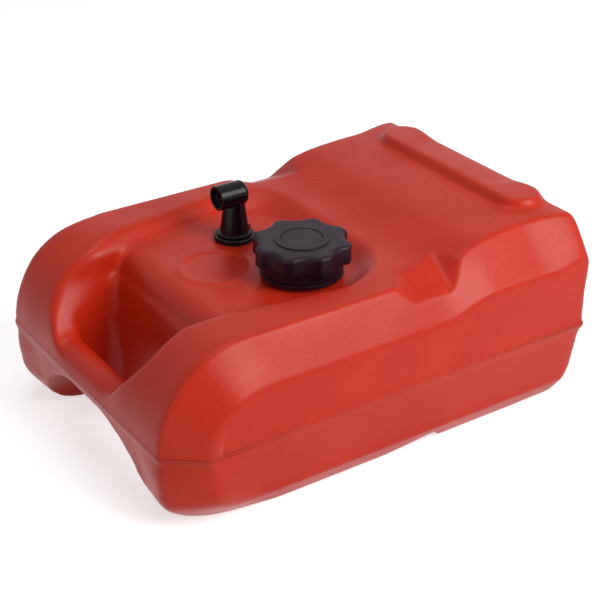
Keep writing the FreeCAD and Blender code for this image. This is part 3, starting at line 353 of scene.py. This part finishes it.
# ---- finishes ------------------------------------------------------------------------
@dataclass(frozen=True)
class MouldedPlastic:
    """Plastic straight from a mould, with its grain, waves, specks and a painted highlight on its edges."""

    name: str
    colour: Colour
    cloud_colour: Colour
    # lighter colour of the painted highlight on sharp edges, which the specks take too
    highlight_and_speck_colour: Colour
    roughness: Span
    grain_scale: float = 900.0
    grain_height: float = 0.00002
    wave_scale: float = 30.0
    wave_height: float = 0.0002
    edge_round: float = 0.0008
    # how much of the painted edge highlight's colour the sharp edges take
    edge_highlight_share: float = 0.5
    speck_scale: float = 90.0
    speck_size: float = 0.05
    speck_share: float = 0.3
    speck_depth: float = 0.0001
    speck_tint: float = 0.5          # how much of the painted highlight's colour a speck takes
    specular: float = 0.5
    flank_grain: float = 1.0         # share of the grain on upright faces
    flank_to_top: Span = (0.1, 0.8)  # the normal's Z on upright faces and on tops
    # dark colour of the painted shade, with some dirt, along the parting rib's edges
    seam_shade_colour: Colour | None = None

    def material(self, effects: Effects) -> bpy.types.Material:
        """Build the material.

        Args:
            effects: the shared node groups.

        Returns:
            The finished material.
        """
        made, graph = blank_material(self.name)
        up = graph.add("ShaderNodeSeparateXYZ", Vector=graph.add("ShaderNodeNewGeometry").outputs["Normal"])
        grain = graph.remap(up.outputs[2], *self.flank_to_top, self.flank_grain * self.grain_height,
                            self.grain_height)
        peel = graph.group(effects.peel, Grain_Scale=self.grain_scale, Grain_Height=grain,
                           Wave_Scale=self.wave_scale, Wave_Height=self.wave_height)
        edges = graph.group(effects.edges, Radius=self.edge_round)
        specks = graph.group(effects.specks, Scale=self.speck_scale, Size=self.speck_size,
                             Share=self.speck_share)
        colour = graph.blend(peel.outputs["Cloud"], self.colour, self.cloud_colour)
        # Painted highlight: sharp edges lighten towards the highlight colour.
        highlit = graph.math("MULTIPLY", edges.outputs["Mask"], self.edge_highlight_share)
        colour = graph.blend(highlit, colour, self.highlight_and_speck_colour)
        tinted = graph.math("MULTIPLY", specks.outputs["Mask"], self.speck_tint)
        colour = graph.blend(tinted, colour, self.highlight_and_speck_colour)
        # Darken the parting rib's edges: painted shade, with some dirt.
        if self.seam_shade_colour:
            colour = graph.blend(graph.group(effects.seam).outputs["Mask"], colour, self.seam_shade_colour)
        rough = graph.remap(peel.outputs["Cloud"], 0.0, 1.0, *self.roughness)
        rounded = graph.add("ShaderNodeBevel", samples=6, Radius=self.edge_round)
        sunk = graph.math("MULTIPLY", specks.outputs["Mask"], -self.speck_depth)
        height = graph.math("ADD", peel.outputs["Height"], sunk)
        bump = graph.add("ShaderNodeBump", Strength=1.0, Distance=1.0, Height=height,
                         Normal=rounded.outputs[0])
        shader = graph.add("ShaderNodeBsdfPrincipled", Base_Color=colour, Roughness=rough,
                           Normal=bump.outputs[0])
        shader.inputs["Specular IOR Level"].default_value = self.specular
        graph.close(shader)
        return made


@dataclass(frozen=True)
class DrawnSteel:
    """Bright steel, drawn as wire or ground as a ball."""

    name: str
    colour: Colour
    roughness: Span
    line_scale: float = 400.0
    line_height: float = 0.000004
    fine_ratio: float = 4.0          # how much finer the grain is than the lines
    cloud_share: float = 0.8         # of the colour's brightness

    def material(self, effects: Effects) -> bpy.types.Material:
        """Build the material.

        Args:
            effects: the shared node groups.

        Returns:
            The finished material.
        """
        made, graph = blank_material(self.name)
        peel = graph.group(effects.peel, Grain_Scale=self.line_scale * self.fine_ratio,
                           Grain_Height=self.line_height, Wave_Scale=self.line_scale,
                           Wave_Height=self.line_height)
        clouded = tuple(self.cloud_share * part for part in self.colour)
        colour = graph.blend(peel.outputs["Cloud"], self.colour, clouded)
        rough = graph.remap(peel.outputs["Cloud"], 0.0, 1.0, *self.roughness)
        bump = graph.add("ShaderNodeBump", Strength=1.0, Distance=1.0, Height=peel.outputs["Height"])
        shader = graph.add("ShaderNodeBsdfPrincipled", Base_Color=colour, Roughness=rough,
                           Metallic=1.0, Normal=bump.outputs[0])
        graph.close(shader)
        return made


@dataclass(frozen=True)
class WovenScreen:
    """Fine woven filter cloth: two sets of threads over and under each other."""

    name: str
    colour: Colour
    gap_colour: Colour
    thread: float = 0.0006
    relief: float = 0.0001           # height of a thread over the gaps
    gap_edge: Span = (-0.2, 0.4)     # weave values at a gap and on a thread
    roughness: Span = (0.55, 0.7)

    def material(self, effects: Effects) -> bpy.types.Material:
        """Build the material.

        Args:
            effects: the shared node groups.

        Returns:
            The finished material.
        """
        made, graph = blank_material(self.name)
        place = graph.add("ShaderNodeTexCoord").outputs["Object"]
        split = graph.add("ShaderNodeSeparateXYZ", Vector=place)
        turn = 2 * math.pi / self.thread
        slant = graph.math("ADD", split.outputs[0], split.outputs[1])
        around = graph.math("SINE", graph.math("MULTIPLY", slant, turn))
        along = graph.math("SINE", graph.math("MULTIPLY", split.outputs[2], turn))
        weave = graph.math("MAXIMUM", around, along)
        colour = graph.blend(graph.remap(weave, *self.gap_edge), self.gap_colour, self.colour)
        height = graph.math("MULTIPLY", weave, self.relief)
        bump = graph.add("ShaderNodeBump", Strength=1.0, Distance=1.0, Height=height)
        peel = graph.group(effects.peel)
        rough = graph.remap(peel.outputs["Cloud"], 0.0, 1.0, *self.roughness)
        shader = graph.add("ShaderNodeBsdfPrincipled", Base_Color=colour, Roughness=rough,
                           Normal=bump.outputs[0])
        graph.close(shader)
        return made


# Each finish's third colour, lighter than its first, is a painted highlight on sharp edges, which the specks
# take too.
FINISHES = {
    # The tank's seam colour is painted shade, with some dirt, along the parting rib's edges.
    Slot.TANK: MouldedPlastic(
        "red moulded polyethylene", colour=(0.56, 0.025, 0.007), cloud_colour=(0.51, 0.021, 0.006),
        highlight_and_speck_colour=(0.61, 0.042, 0.017), roughness=(0.31, 0.38), grain_scale=430.0,
        grain_height=0.00022, wave_scale=24.0, wave_height=0.0004, edge_round=0.003,
        edge_highlight_share=0.35, speck_scale=60.0, speck_size=0.09, speck_share=0.3, specular=0.23,
        flank_grain=0.35, seam_shade_colour=(0.16, 0.006, 0.003)),
    Slot.CAP: MouldedPlastic(
        "charcoal cap plastic", colour=(0.017, 0.005, 0.013), cloud_colour=(0.012, 0.004, 0.010),
        highlight_and_speck_colour=(0.034, 0.022, 0.030), roughness=(0.34, 0.42), grain_scale=1800.0,
        grain_height=0.000025, wave_height=0.00005, edge_highlight_share=0.3, speck_scale=260.0,
        specular=0.20),
    Slot.OUTLET: MouldedPlastic(
        "glossy black outlet plastic", colour=(0.005, 0.002, 0.004), cloud_colour=(0.004, 0.002, 0.003),
        highlight_and_speck_colour=(0.018, 0.013, 0.016), roughness=(0.17, 0.24), grain_scale=1500.0,
        grain_height=0.000006, wave_height=0.00005, edge_highlight_share=0.25, speck_scale=260.0,
        specular=0.20),
    Slot.SEAL: MouldedPlastic(
        "black seal rubber", colour=(0.016, 0.016, 0.017), cloud_colour=(0.022, 0.022, 0.022),
        highlight_and_speck_colour=(0.04, 0.04, 0.04), roughness=(0.62, 0.75), grain_scale=2400.0,
        grain_height=0.00001, wave_height=0.00003, edge_round=0.0003, specular=0.35),
    Slot.NATURAL: MouldedPlastic(
        "natural white plastic", colour=(0.62, 0.60, 0.51), cloud_colour=(0.56, 0.54, 0.45),
        highlight_and_speck_colour=(0.72, 0.70, 0.63), roughness=(0.40, 0.52), grain_scale=2000.0,
        grain_height=0.00001, wave_height=0.00003, edge_round=0.0003, speck_scale=400.0),
    Slot.SPRING: DrawnSteel("drawn spring steel", colour=(0.55, 0.55, 0.56), roughness=(0.24, 0.36)),
    Slot.BALL: DrawnSteel("ground ball steel", colour=(0.70, 0.70, 0.71), roughness=(0.07, 0.12)),
    Slot.SCREEN: WovenScreen("woven filter cloth", colour=(0.74, 0.74, 0.68), gap_colour=(0.10, 0.10, 0.09)),
}


class Paints:
    """Every finish as a material, made once."""

    def __init__(self) -> None:
        """Build the shared groups and the materials."""
        effects = Effects()
        self.by_slot = {slot: finish.material(effects) for slot, finish in FINISHES.items()}

    def dress_node(self, node: str, slot: Slot) -> None:
        """Give a CAD node its finish.

        Args:
            node: the node's name.
            slot: the finish's slot.
        """
        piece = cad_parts[node]
        for place in piece.material_slots:
            place.material = self.by_slot[slot]
        LOG.info("dressed %s in %s", node, slot.value)

    def dress_piece(self, piece: bpy.types.Object, slot: Slot, body: Body) -> None:
        """Give a new piece its finish and its body.

        Args:
            piece: the new piece.
            slot: the finish's slot.
            body: the body that it rides on.
        """
        piece.data.materials.append(self.by_slot[slot])
        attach(piece, body.value)
        LOG.info("made %s in %s", piece.name, slot.value)


# ---- new pieces ----------------------------------------------------------------------
class Side(Enum):
    """Which way a thread's ridge stands off its wall."""

    OUT = 1
    IN = -1


@dataclass(frozen=True)
class Thread:
    """Helical ridge on a round wall."""

    name: str
    side: Side
    wall_radius: float
    ridge_height: float
    pitch: float
    turns: float
    foot_width: float
    crest_width: float
    sunk: float = 0.2 * MM           # how deep its foot lies in the wall
    taper: float = 0.125             # share of a turn over which it runs in and out
    steps_per_turn: int = 48

    def build(self, centre: Vector, axis: Vector) -> bpy.types.Object:
        """Sweep the ridge's profile along its helix.

        Args:
            centre: where the helix starts, on its axis.
            axis: direction that it climbs in.

        Returns:
            The thread as a mesh object.
        """
        mesh = bmesh.new()
        foot, crest = self.foot_width / 2, self.crest_width / 2
        wall = self.wall_radius - self.side.value * self.sunk
        tip = self.wall_radius + self.side.value * self.ridge_height
        profile = [(wall, -foot), (tip, -crest), (tip, crest), (wall, foot)]
        corners = [mesh.verts.new((radius, 0.0, height)) for radius, height in profile]
        face = mesh.faces.new(corners)
        steps = round(self.turns * self.steps_per_turn)
        bmesh.ops.spin(mesh, geom=[face, *face.edges, *face.verts], cent=(0.0, 0.0, 0.0),
                       axis=(0.0, 0.0, 1.0), dvec=(0.0, 0.0, self.pitch * self.turns / steps),
                       angle=2 * math.pi * self.turns, steps=steps, use_merge=False)
        self._taper_ends(mesh)
        bmesh.ops.remove_doubles(mesh, verts=mesh.verts, dist=THREAD_MERGE)
        bmesh.ops.recalc_face_normals(mesh, faces=mesh.faces)
        turn = Vector((0.0, 0.0, 1.0)).rotation_difference(axis).to_matrix().to_4x4()
        bmesh.ops.transform(mesh, matrix=Matrix.Translation(centre) @ turn, verts=mesh.verts)
        return to_object(mesh, self.name)

    def _taper_ends(self, mesh: bmesh.types.BMesh) -> None:
        """Let the ridge run into its wall at both ends.

        Args:
            mesh: the swept ridge, about the Z axis.
        """
        climb = self.pitch * self.turns
        reach = self.pitch * self.taper
        for vert in mesh.verts:
            radius = math.hypot(vert.co.x, vert.co.y)
            height = vert.co.z
            near = min(height + self.foot_width / 2, climb + self.foot_width / 2 - height) / reach
            share = min(1.0, max(0.0, near))
            stand = (radius - self.wall_radius) * self.side.value
            if stand > 0 and share < 1.0:
                wanted = self.wall_radius + self.side.value * stand * share
                vert.co.x *= wanted / radius
                vert.co.y *= wanted / radius


def to_object(mesh: bmesh.types.BMesh, name: str) -> bpy.types.Object:
    """Turn a finished bmesh into a smooth-shaded object at the origin.

    Args:
        mesh: the bmesh, which is freed.
        name: name of the object.

    Returns:
        The linked object.
    """
    data = bpy.data.meshes.new(name)
    mesh.to_mesh(data)
    mesh.free()
    data.shade_smooth()
    data.set_sharp_from_angle(angle=SHARP_ANGLE)
    piece = bpy.data.objects.new(name, data)
    bpy.context.scene.collection.objects.link(piece)
    return piece


def middle(node: str) -> Vector:
    """Centre of a CAD node's box at rest."""
    low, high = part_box(node)
    return (low + high) / 2


def over_cup(rise: float) -> Vector:
    """Point on the filler cap's axis above the inner cup's foot.

    Args:
        rise: how far above it.

    Returns:
        The point.
    """
    place = middle("cap_inner_cup")
    place.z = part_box("cap_inner_cup")[0].z + rise
    return place


def applied(piece: bpy.types.Object) -> None:
    """Take a piece's modifiers into its mesh."""
    evaluated = piece.evaluated_get(bpy.context.evaluated_depsgraph_get())
    made = bpy.data.meshes.new_from_object(evaluated)
    piece.modifiers.clear()
    piece.data = made


# ---- sub-assemblies ------------------------------------------------------------------
@dataclass(frozen=True)
class Zone:
    """Box-shaped part of the shell, mirrored across the tank, with soft borders."""

    name: str
    low: Triple                      # in metres; Y counts outwards from the middle
    high: Triple
    rounds: int                      # of smoothing
    border: float = 0.010

    def share(self, place: Vector) -> float:
        """How fully a point lies in the zone.

        Args:
            place: the point.

        Returns:
            1 inside, 0 a border's width outside.
        """
        near = min(min(value - low, high - value) for value, low, high
                   in zip((place.x, abs(place.y), place.z), self.low, self.high))
        return min(1.0, max(0.0, 1.0 + near / self.border))


def ramp(value: float, start: float, end: float) -> float:
    """0 at start and 1 at end, clamped, with eased ends.

    Args:
        value: where to read the ramp.
        start: where it leaves 0.
        end: where it reaches 1.

    Returns:
        A share from 0 to 1.
    """
    share = min(1.0, max(0.0, (value - start) / (end - start)))
    return share * share * (3.0 - 2.0 * share)


@dataclass(frozen=True)
class Swell:
    """Slow shift of both sides of the shell, where the moulding fills out or draws in."""

    name: str
    shift: Triple                    # along X, outwards along Y, and along Z
    along: Span                      # X where it starts and where it is full
    up: Span                         # the same for Z
    out: Span                        # the same for the distance from the middle

    def move(self, place: Vector) -> Vector:
        """How a point moves.

        Args:
            place: the point.

        Returns:
            Its shift.
        """
        share = ramp(place.x, *self.along) * ramp(place.z, *self.up) * ramp(abs(place.y), *self.out)
        along, out, up = self.shift
        return Vector((along, math.copysign(1.0, place.y) * out, up)) * share


@dataclass
class SoftShell:
    """The shell with the flowing edges that blow moulding gives it."""

    grid: float = 1.6 * MM
    triangles: int = 185000
    smoothing: float = 0.5               # how far one round moves a point towards its neighbours
    neck_clear: float = 34.0 * MM        # nothing is smoothed this near the filler neck
    boss_clear: float = 22.0 * MM        # nor this near the outlet's boss
    deck_clear: float = 8.0 * MM         # from this far below the deck
    rib_low: float = 67.0 * MM           # nor between these heights, at the parting rib
    rib_high: float = 75.0 * MM
    rib_fade: Span = (-0.174, 0.172)     # but between these X the rib sinks into the side panels
    panel_out: float = 0.120             # which lie this far from the middle
    ring_place: Span = (-0.074, 0.004)   # middle of the blank ring on the deck
    ring_radius: float = 29.75 * MM
    ring_clear: float = 4.0 * MM         # nothing is smoothed this near the ring
    foot_wall_low: Triple = (-0.157, 0.0635, 0.001)     # wall behind each foot; Y counts outwards
    foot_wall_high: Triple = (-0.153, 0.0960, 0.053)
    zones: tuple[Zone, ...] = (
        Zone("skin", (-1.0, 0.0, -1.0), (1.0, 1.0, 1.0), rounds=8),
        Zone("recess and well", (-0.190, 0.0, 0.085), (0.050, 0.108, 0.200), rounds=26),
        Zone("crest over the well", (-0.185, 0.050, 0.100), (-0.130, 0.096, 0.200), rounds=22),
        Zone("bar", (-0.210, 0.0, 0.080), (-0.166, 0.086, 0.116), rounds=26),
        Zone("pad", (0.020, 0.0, 0.125), (0.210, 0.122, 0.200), rounds=5),
        Zone("strap notches", (0.012, 0.104, 0.122), (0.088, 0.160, 0.180), rounds=10),
        Zone("low corners at the handle", (-0.210, 0.104, -0.010), (-0.122, 0.160, 0.060),
             rounds=60, border=0.014),
        Zone("low corners at the plain end", (0.160, 0.090, -0.010), (0.210, 0.160, 0.060),
             rounds=30, border=0.016),
        Zone("rib on the panels", (-0.105, 0.128, 0.058), (0.135, 0.160, 0.084),
             rounds=14, border=0.030),
        Zone("edge of the panels at the handle", (-0.166, 0.128, 0.062), (-0.146, 0.160, 0.092),
             rounds=20, border=0.012),
    )
    swells: tuple[Swell, ...] = (
        Swell("foot of the sides", shift=(0.0, 5.0 * MM, 0.0),
              along=(-0.175, -0.085), up=(0.026, -0.002), out=(0.090, 0.124)),
        Swell("corners of the handle end", shift=(0.0, 8.0 * MM, 0.0),
              along=(-0.120, -0.195), up=(0.0, 0.030), out=(0.075, 0.116)),
        Swell("top corners of the handle end", shift=(0.0, 0.0, 3.0 * MM),
              along=(-0.120, -0.165), up=(0.100, 0.130), out=(0.080, 0.116)),
        Swell("shoulders of the feet", shift=(-4.0 * MM, 0.0, 0.0),
              along=(-0.140, -0.190), up=(0.070, 0.050), out=(0.085, 0.116)),
        Swell("low corners of the handle end", shift=(6.0 * MM, -4.0 * MM, 0.0),
              along=(-0.120, -0.180), up=(0.030, 0.0), out=(0.080, 0.130)),
        Swell("top edge of the plain end", shift=(0.0, 0.0, 4.0 * MM),
              along=(0.150, 0.200), up=(0.125, 0.160), out=(0.050, 0.085)),
        Swell("top corners of the plain end", shift=(0.0, 5.0 * MM, 0.0),
              along=(0.150, 0.200), up=(0.100, 0.150), out=(0.085, 0.126)),
    )

    def build(self, node: str) -> bpy.types.Object:
        """Make the soft shell from a CAD node.

        Args:
            node: the node that the shell stands for.

        Returns:
            The shell as a mesh object.
        """
        mesh = bmesh.new()
        mesh.from_mesh(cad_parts[node].data)
        bmesh.ops.remove_doubles(mesh, verts=mesh.verts, dist=CAD_MERGE)
        self._close_feet(mesh)
        shell = to_object(mesh, "moulded_shell")
        even = shell.modifiers.new("even grid", "REMESH")
        even.mode, even.voxel_size = "VOXEL", self.grid
        applied(shell)
        self._fill_out(shell, *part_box(node))
        self._group(shell)
        for zone in self.zones:
            soft = shell.modifiers.new(zone.name, "SMOOTH")
            soft.factor, soft.iterations, soft.vertex_group = self.smoothing, zone.rounds, zone.name
        applied(shell)
        shell.data.calc_loop_triangles()
        fewer = shell.modifiers.new("fewer faces", "DECIMATE")
        fewer.ratio = min(1.0, self.triangles / len(shell.data.loop_triangles))
        applied(shell)
        shell.vertex_groups.clear()
        shell.data.shade_smooth()
        return shell

    def _close_feet(self, mesh: bmesh.types.BMesh) -> None:
        """Add the wall behind each foot, which closes the shell where the gap under the bar ends.

        Args:
            mesh: the merged copy of the node's mesh.
        """
        low, high = Vector(self.foot_wall_low), Vector(self.foot_wall_high)
        for side in (-1.0, 1.0):
            wall = bmesh.ops.create_cube(mesh, size=1.0)["verts"]
            place = (low + high) / 2
            place.y *= side
            bmesh.ops.scale(mesh, vec=high - low, verts=wall)
            bmesh.ops.translate(mesh, vec=place, verts=wall)

    def _fill_out(self, shell: bpy.types.Object, low: Vector, high: Vector) -> None:
        """Shift the shell's skin where it swells, inside the node's box.

        Args:
            shell: the evenly meshed shell.
            low: lowest corner of the node's box.
            high: highest corner of the node's box.
        """
        for vert in shell.data.vertices:
            moved = vert.co + sum((swell.move(vert.co) for swell in self.swells), Vector())
            vert.co = [min(max(value, least), most) for value, least, most in zip(moved, low, high)]

    def _kept(self, place: Vector, ring: Vector, neck: Vector, boss: Vector, deck: float) -> bool:
        """Whether a point keeps its exact place.

        Args:
            place: the point.
            ring: middle of the blank ring.
            neck: middle of the filler neck.
            boss: middle of the outlet's boss.
            deck: height of the deck.

        Returns:
            True near the neck, the boss, the blank ring and the parting rib outside the panels.
        """
        if self.rib_low < place.z < self.rib_high:
            return not (abs(place.y) > self.panel_out and self.rib_fade[0] < place.x < self.rib_fade[1])
        if place.z < deck - self.deck_clear:
            return False
        flat = place.to_2d()
        if (flat - neck.to_2d()).length < self.neck_clear or (flat - boss.to_2d()).length < self.boss_clear:
            return True
        off_ring = abs((flat - ring.to_2d()).length - self.ring_radius)
        return off_ring < self.ring_clear and place.z < deck + self.ring_clear

    def _group(self, shell: bpy.types.Object) -> None:
        """Sort the shell's points into one weighted group per zone.

        Args:
            shell: the evenly meshed shell.
        """
        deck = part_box("outlet_gasket")[0].z
        ring = Vector((*self.ring_place, deck))
        neck, boss = middle("cap_gasket"), middle("outlet_gasket")
        loose = [(vert.index, vert.co.copy()) for vert in shell.data.vertices
                 if not self._kept(vert.co, ring, neck, boss, deck)]
        for zone in self.zones:
            group = shell.vertex_groups.new(name=zone.name)
            levels: dict[float, list[int]] = {}
            for index, place in loose:
                share = round(zone.share(place), 1)
                if share > 0:
                    levels.setdefault(share, []).append(index)
            for share, indices in levels.items():
                group.add(indices, share, "REPLACE")


@dataclass
class TankBody:
    """Moulded shell with the thread on its filler neck."""

    thread: Thread = Thread(
        "neck_thread", Side.OUT, wall_radius=28.0 * MM, ridge_height=0.7 * MM, pitch=5.0 * MM,
        turns=2.2, foot_width=2.4 * MM, crest_width=1.0 * MM)
    first_turn: float = 6.0 * MM     # above the inner cup's foot

    def build(self, paints: Paints) -> None:
        """Make the soft shell and the neck's thread.

        Args:
            paints: the materials.
        """
        paints.dress_node("tank_shell", Slot.TANK)
        shell = SoftShell().build("tank_shell")
        paints.dress_piece(shell, Slot.TANK, Body.TANK)
        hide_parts("tank_shell")
        ridge = self.thread.build(over_cup(self.first_turn), Vector((0.0, 0.0, 1.0)))
        paints.dress_piece(ridge, Slot.TANK, Body.TANK)


@dataclass
class FillerCap:
    """Lobed grip, inner cup with its thread, ratchet, seal and relief valve."""

    thread: Thread = Thread(
        "cup_thread", Side.IN, wall_radius=29.6 * MM, ridge_height=0.6 * MM, pitch=5.0 * MM,
        turns=2.2, foot_width=2.0 * MM, crest_width=0.9 * MM)
    first_turn: float = 3.5 * MM     # half a pitch below the neck's turns

    nodes: ClassVar[dict[str, Slot]] = {
        "cap_grip": Slot.CAP, "cap_cover_disc": Slot.CAP, "cap_inner_cup": Slot.CAP,
        "cap_snap_ring": Slot.CAP, "cap_ratchet_ring": Slot.NATURAL, "cap_gasket": Slot.SEAL,
        "relief_valve_body": Slot.NATURAL, "relief_poppet": Slot.NATURAL,
        "vacuum_valve": Slot.SEAL, "relief_spring": Slot.SPRING, "relief_retainer": Slot.NATURAL,
    }

    def build(self, paints: Paints) -> None:
        """Dress the cap's nodes and make the cup's thread.

        Args:
            paints: the materials.
        """
        for node, slot in self.nodes.items():
            paints.dress_node(node, slot)
        ridge = self.thread.build(over_cup(self.first_turn), Vector((0.0, 0.0, 1.0)))
        paints.dress_piece(ridge, Slot.CAP, Body.CAP_CORE)


@dataclass
class FuelOutlet:
    """Elbow with its threaded port, adapter, check valve and pick-up tube."""

    thread: Thread = Thread(
        "port_thread", Side.IN, wall_radius=5.6 * MM, ridge_height=0.45 * MM, pitch=1.411 * MM,
        turns=7.0, foot_width=1.3 * MM, crest_width=0.2 * MM, steps_per_turn=32)
    mouth_depth: float = 3.6 * MM    # from the port's rim to the first turn
    port_radius: float = 10.75 * MM  # outside, so its axis lies this far below the elbow's top

    nodes: ClassVar[dict[str, Slot]] = {
        "outlet_gasket": Slot.SEAL, "outlet_adapter": Slot.OUTLET, "outlet_elbow": Slot.OUTLET,
        "elbow_seal_ring": Slot.SEAL, "check_seat": Slot.NATURAL, "check_ball": Slot.BALL,
        "check_spring": Slot.SPRING, "dip_tube": Slot.NATURAL, "strainer_cage": Slot.NATURAL,
        "strainer_screen": Slot.SCREEN,
    }

    def build(self, paints: Paints) -> None:
        """Dress the outlet's nodes and make the port's thread.

        Args:
            paints: the materials.
        """
        for node, slot in self.nodes.items():
            paints.dress_node(node, slot)
        low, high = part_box("outlet_elbow")
        mouth = Vector((low.x, middle("dip_tube").y, high.z - self.port_radius))
        inwards = Vector((1.0, 0.0, 0.0))
        ridge = self.thread.build(mouth + inwards * self.mouth_depth, inwards)
        paints.dress_piece(ridge, Slot.OUTLET, Body.TANK)


# ---- studio --------------------------------------------------------------------------
@dataclass(frozen=True)
class Lamp:
    """Soft square lamp that faces the tank."""

    name: str
    place: Triple
    size: float
    power: float

    def build(self, target: Vector) -> None:
        """Hang the lamp.

        Args:
            target: the point that it faces.
        """
        data = bpy.data.lights.new(self.name, "AREA")
        data.size = self.size
        data.energy = self.power
        lamp = bpy.data.objects.new(self.name, data)
        lamp.location = self.place
        lamp.rotation_euler = (target - Vector(self.place)).to_track_quat("-Z", "Y").to_euler()
        bpy.context.scene.collection.objects.link(lamp)


@dataclass
class Studio:
    """Plain pale floor, white surroundings, soft lamps and the camera."""

    floor_half: float = 6.0
    floor_colour: Colour = (0.80, 0.80, 0.80)
    floor_cloud: float = 0.98        # share of that brightness in the clouds
    floor_cloud_scale: float = 40.0
    floor_roughness: float = 0.9
    floor_lift: float = 0.62         # what the camera sees on top of the lit floor
    fill: float = 0.27               # the surroundings' light on the tank
    target: Triple = (0.0, 0.0, 0.08)
    eye: Triple = (-0.61965, -0.93660, 0.69562)
    azimuth: float = -33.86          # in degrees, like the elevation
    elevation: float = 28.40
    lens: float = 88.0
    sensor: float = 36.0
    clip: Span = (0.05, 30.0)        # nearest and farthest distance that the camera sees
    lamps: tuple[Lamp, ...] = (
        Lamp("key softbox", (0.55, -1.35, 1.20), 1.0, 24.5),
        Lamp("top softbox", (-0.1, 0.3, 1.9), 1.0, 7.5),
        Lamp("handle side softbox", (-1.9, -0.6, 0.8), 0.9, 2.5),
    )

    def build(self) -> None:
        """Set up floor, surroundings, lamps, camera and view."""
        self._floor()
        self._surroundings()
        for lamp in self.lamps:
            lamp.build(Vector(self.target))
        self._camera()
        bpy.context.scene.view_settings.view_transform = "Standard"
        LOG.info("studio is ready")

    @staticmethod
    def _seen(graph: Graph) -> bpy.types.NodeSocket:
        """Mask that is 1 for rays from the camera, from gloss and through glass."""
        path = graph.add("ShaderNodeLightPath")
        either = graph.math("MAXIMUM", path.outputs["Is Camera Ray"], path.outputs["Is Glossy Ray"])
        return graph.math("MAXIMUM", either, path.outputs["Is Transmission Ray"])

    def _floor(self) -> None:
        """Lay the pale floor."""
        mesh = bmesh.new()
        bmesh.ops.create_grid(mesh, x_segments=1, y_segments=1, size=self.floor_half)
        floor = to_object(mesh, "floor")
        made, graph = blank_material("pale floor")
        place = graph.add("ShaderNodeTexCoord").outputs["Object"]
        noise = graph.add("ShaderNodeTexNoise", Vector=place, Scale=self.floor_cloud_scale, Detail=3.0)
        clouded = tuple(self.floor_cloud * part for part in self.floor_colour)
        colour = graph.blend(noise.outputs[0], self.floor_colour, clouded)
        shader = graph.add("ShaderNodeBsdfPrincipled", Base_Color=colour, Roughness=self.floor_roughness)
        shader.inputs["Specular IOR Level"].default_value = 0.0
        strength = graph.math("MULTIPLY", self._seen(graph), self.floor_lift)
        lift = graph.add("ShaderNodeEmission", Strength=strength)
        both = graph.add("ShaderNodeAddShader")
        graph.feed(both.inputs[0], shader.outputs[0])
        graph.feed(both.inputs[1], lift.outputs[0])
        graph.close(both)
        floor.data.materials.append(made)

    def _surroundings(self) -> None:
        """Light the tank softly from all round, and show white to the camera."""
        world = bpy.data.worlds.new("white surroundings")
        bpy.context.scene.world = world
        world.use_nodes = True
        graph = Graph(world.node_tree)
        strength = graph.remap(self._seen(graph), 0.0, 1.0, self.fill, 1.0)
        graph.close(graph.add("ShaderNodeBackground", Strength=strength), "ShaderNodeOutputWorld")

    def _camera(self) -> None:
        """Place the camera."""
        data = bpy.data.cameras.new("camera")
        data.sensor_width = self.sensor
        data.lens = self.lens
        data.clip_start, data.clip_end = self.clip
        camera = bpy.data.objects.new("camera", data)
        turn, tilt = math.radians(self.azimuth), math.radians(self.elevation)
        back = Vector((math.sin(turn) * math.cos(tilt), -math.cos(turn) * math.cos(tilt), math.sin(tilt)))
        camera.location = self.eye
        camera.rotation_mode = "QUATERNION"
        camera.rotation_quaternion = (-back).to_track_quat("-Z", "Y")
        bpy.context.scene.collection.objects.link(camera)
        bpy.context.scene.camera = camera


def main() -> None:
    """Build the sub-assemblies and the studio."""
    logging.basicConfig(level=logging.INFO, format="%(name)s: %(message)s")
    paints = Paints()
    TankBody().build(paints)
    FillerCap().build(paints)
    FuelOutlet().build(paints)
    Studio().build()


if __name__ == "__main__":
    main()
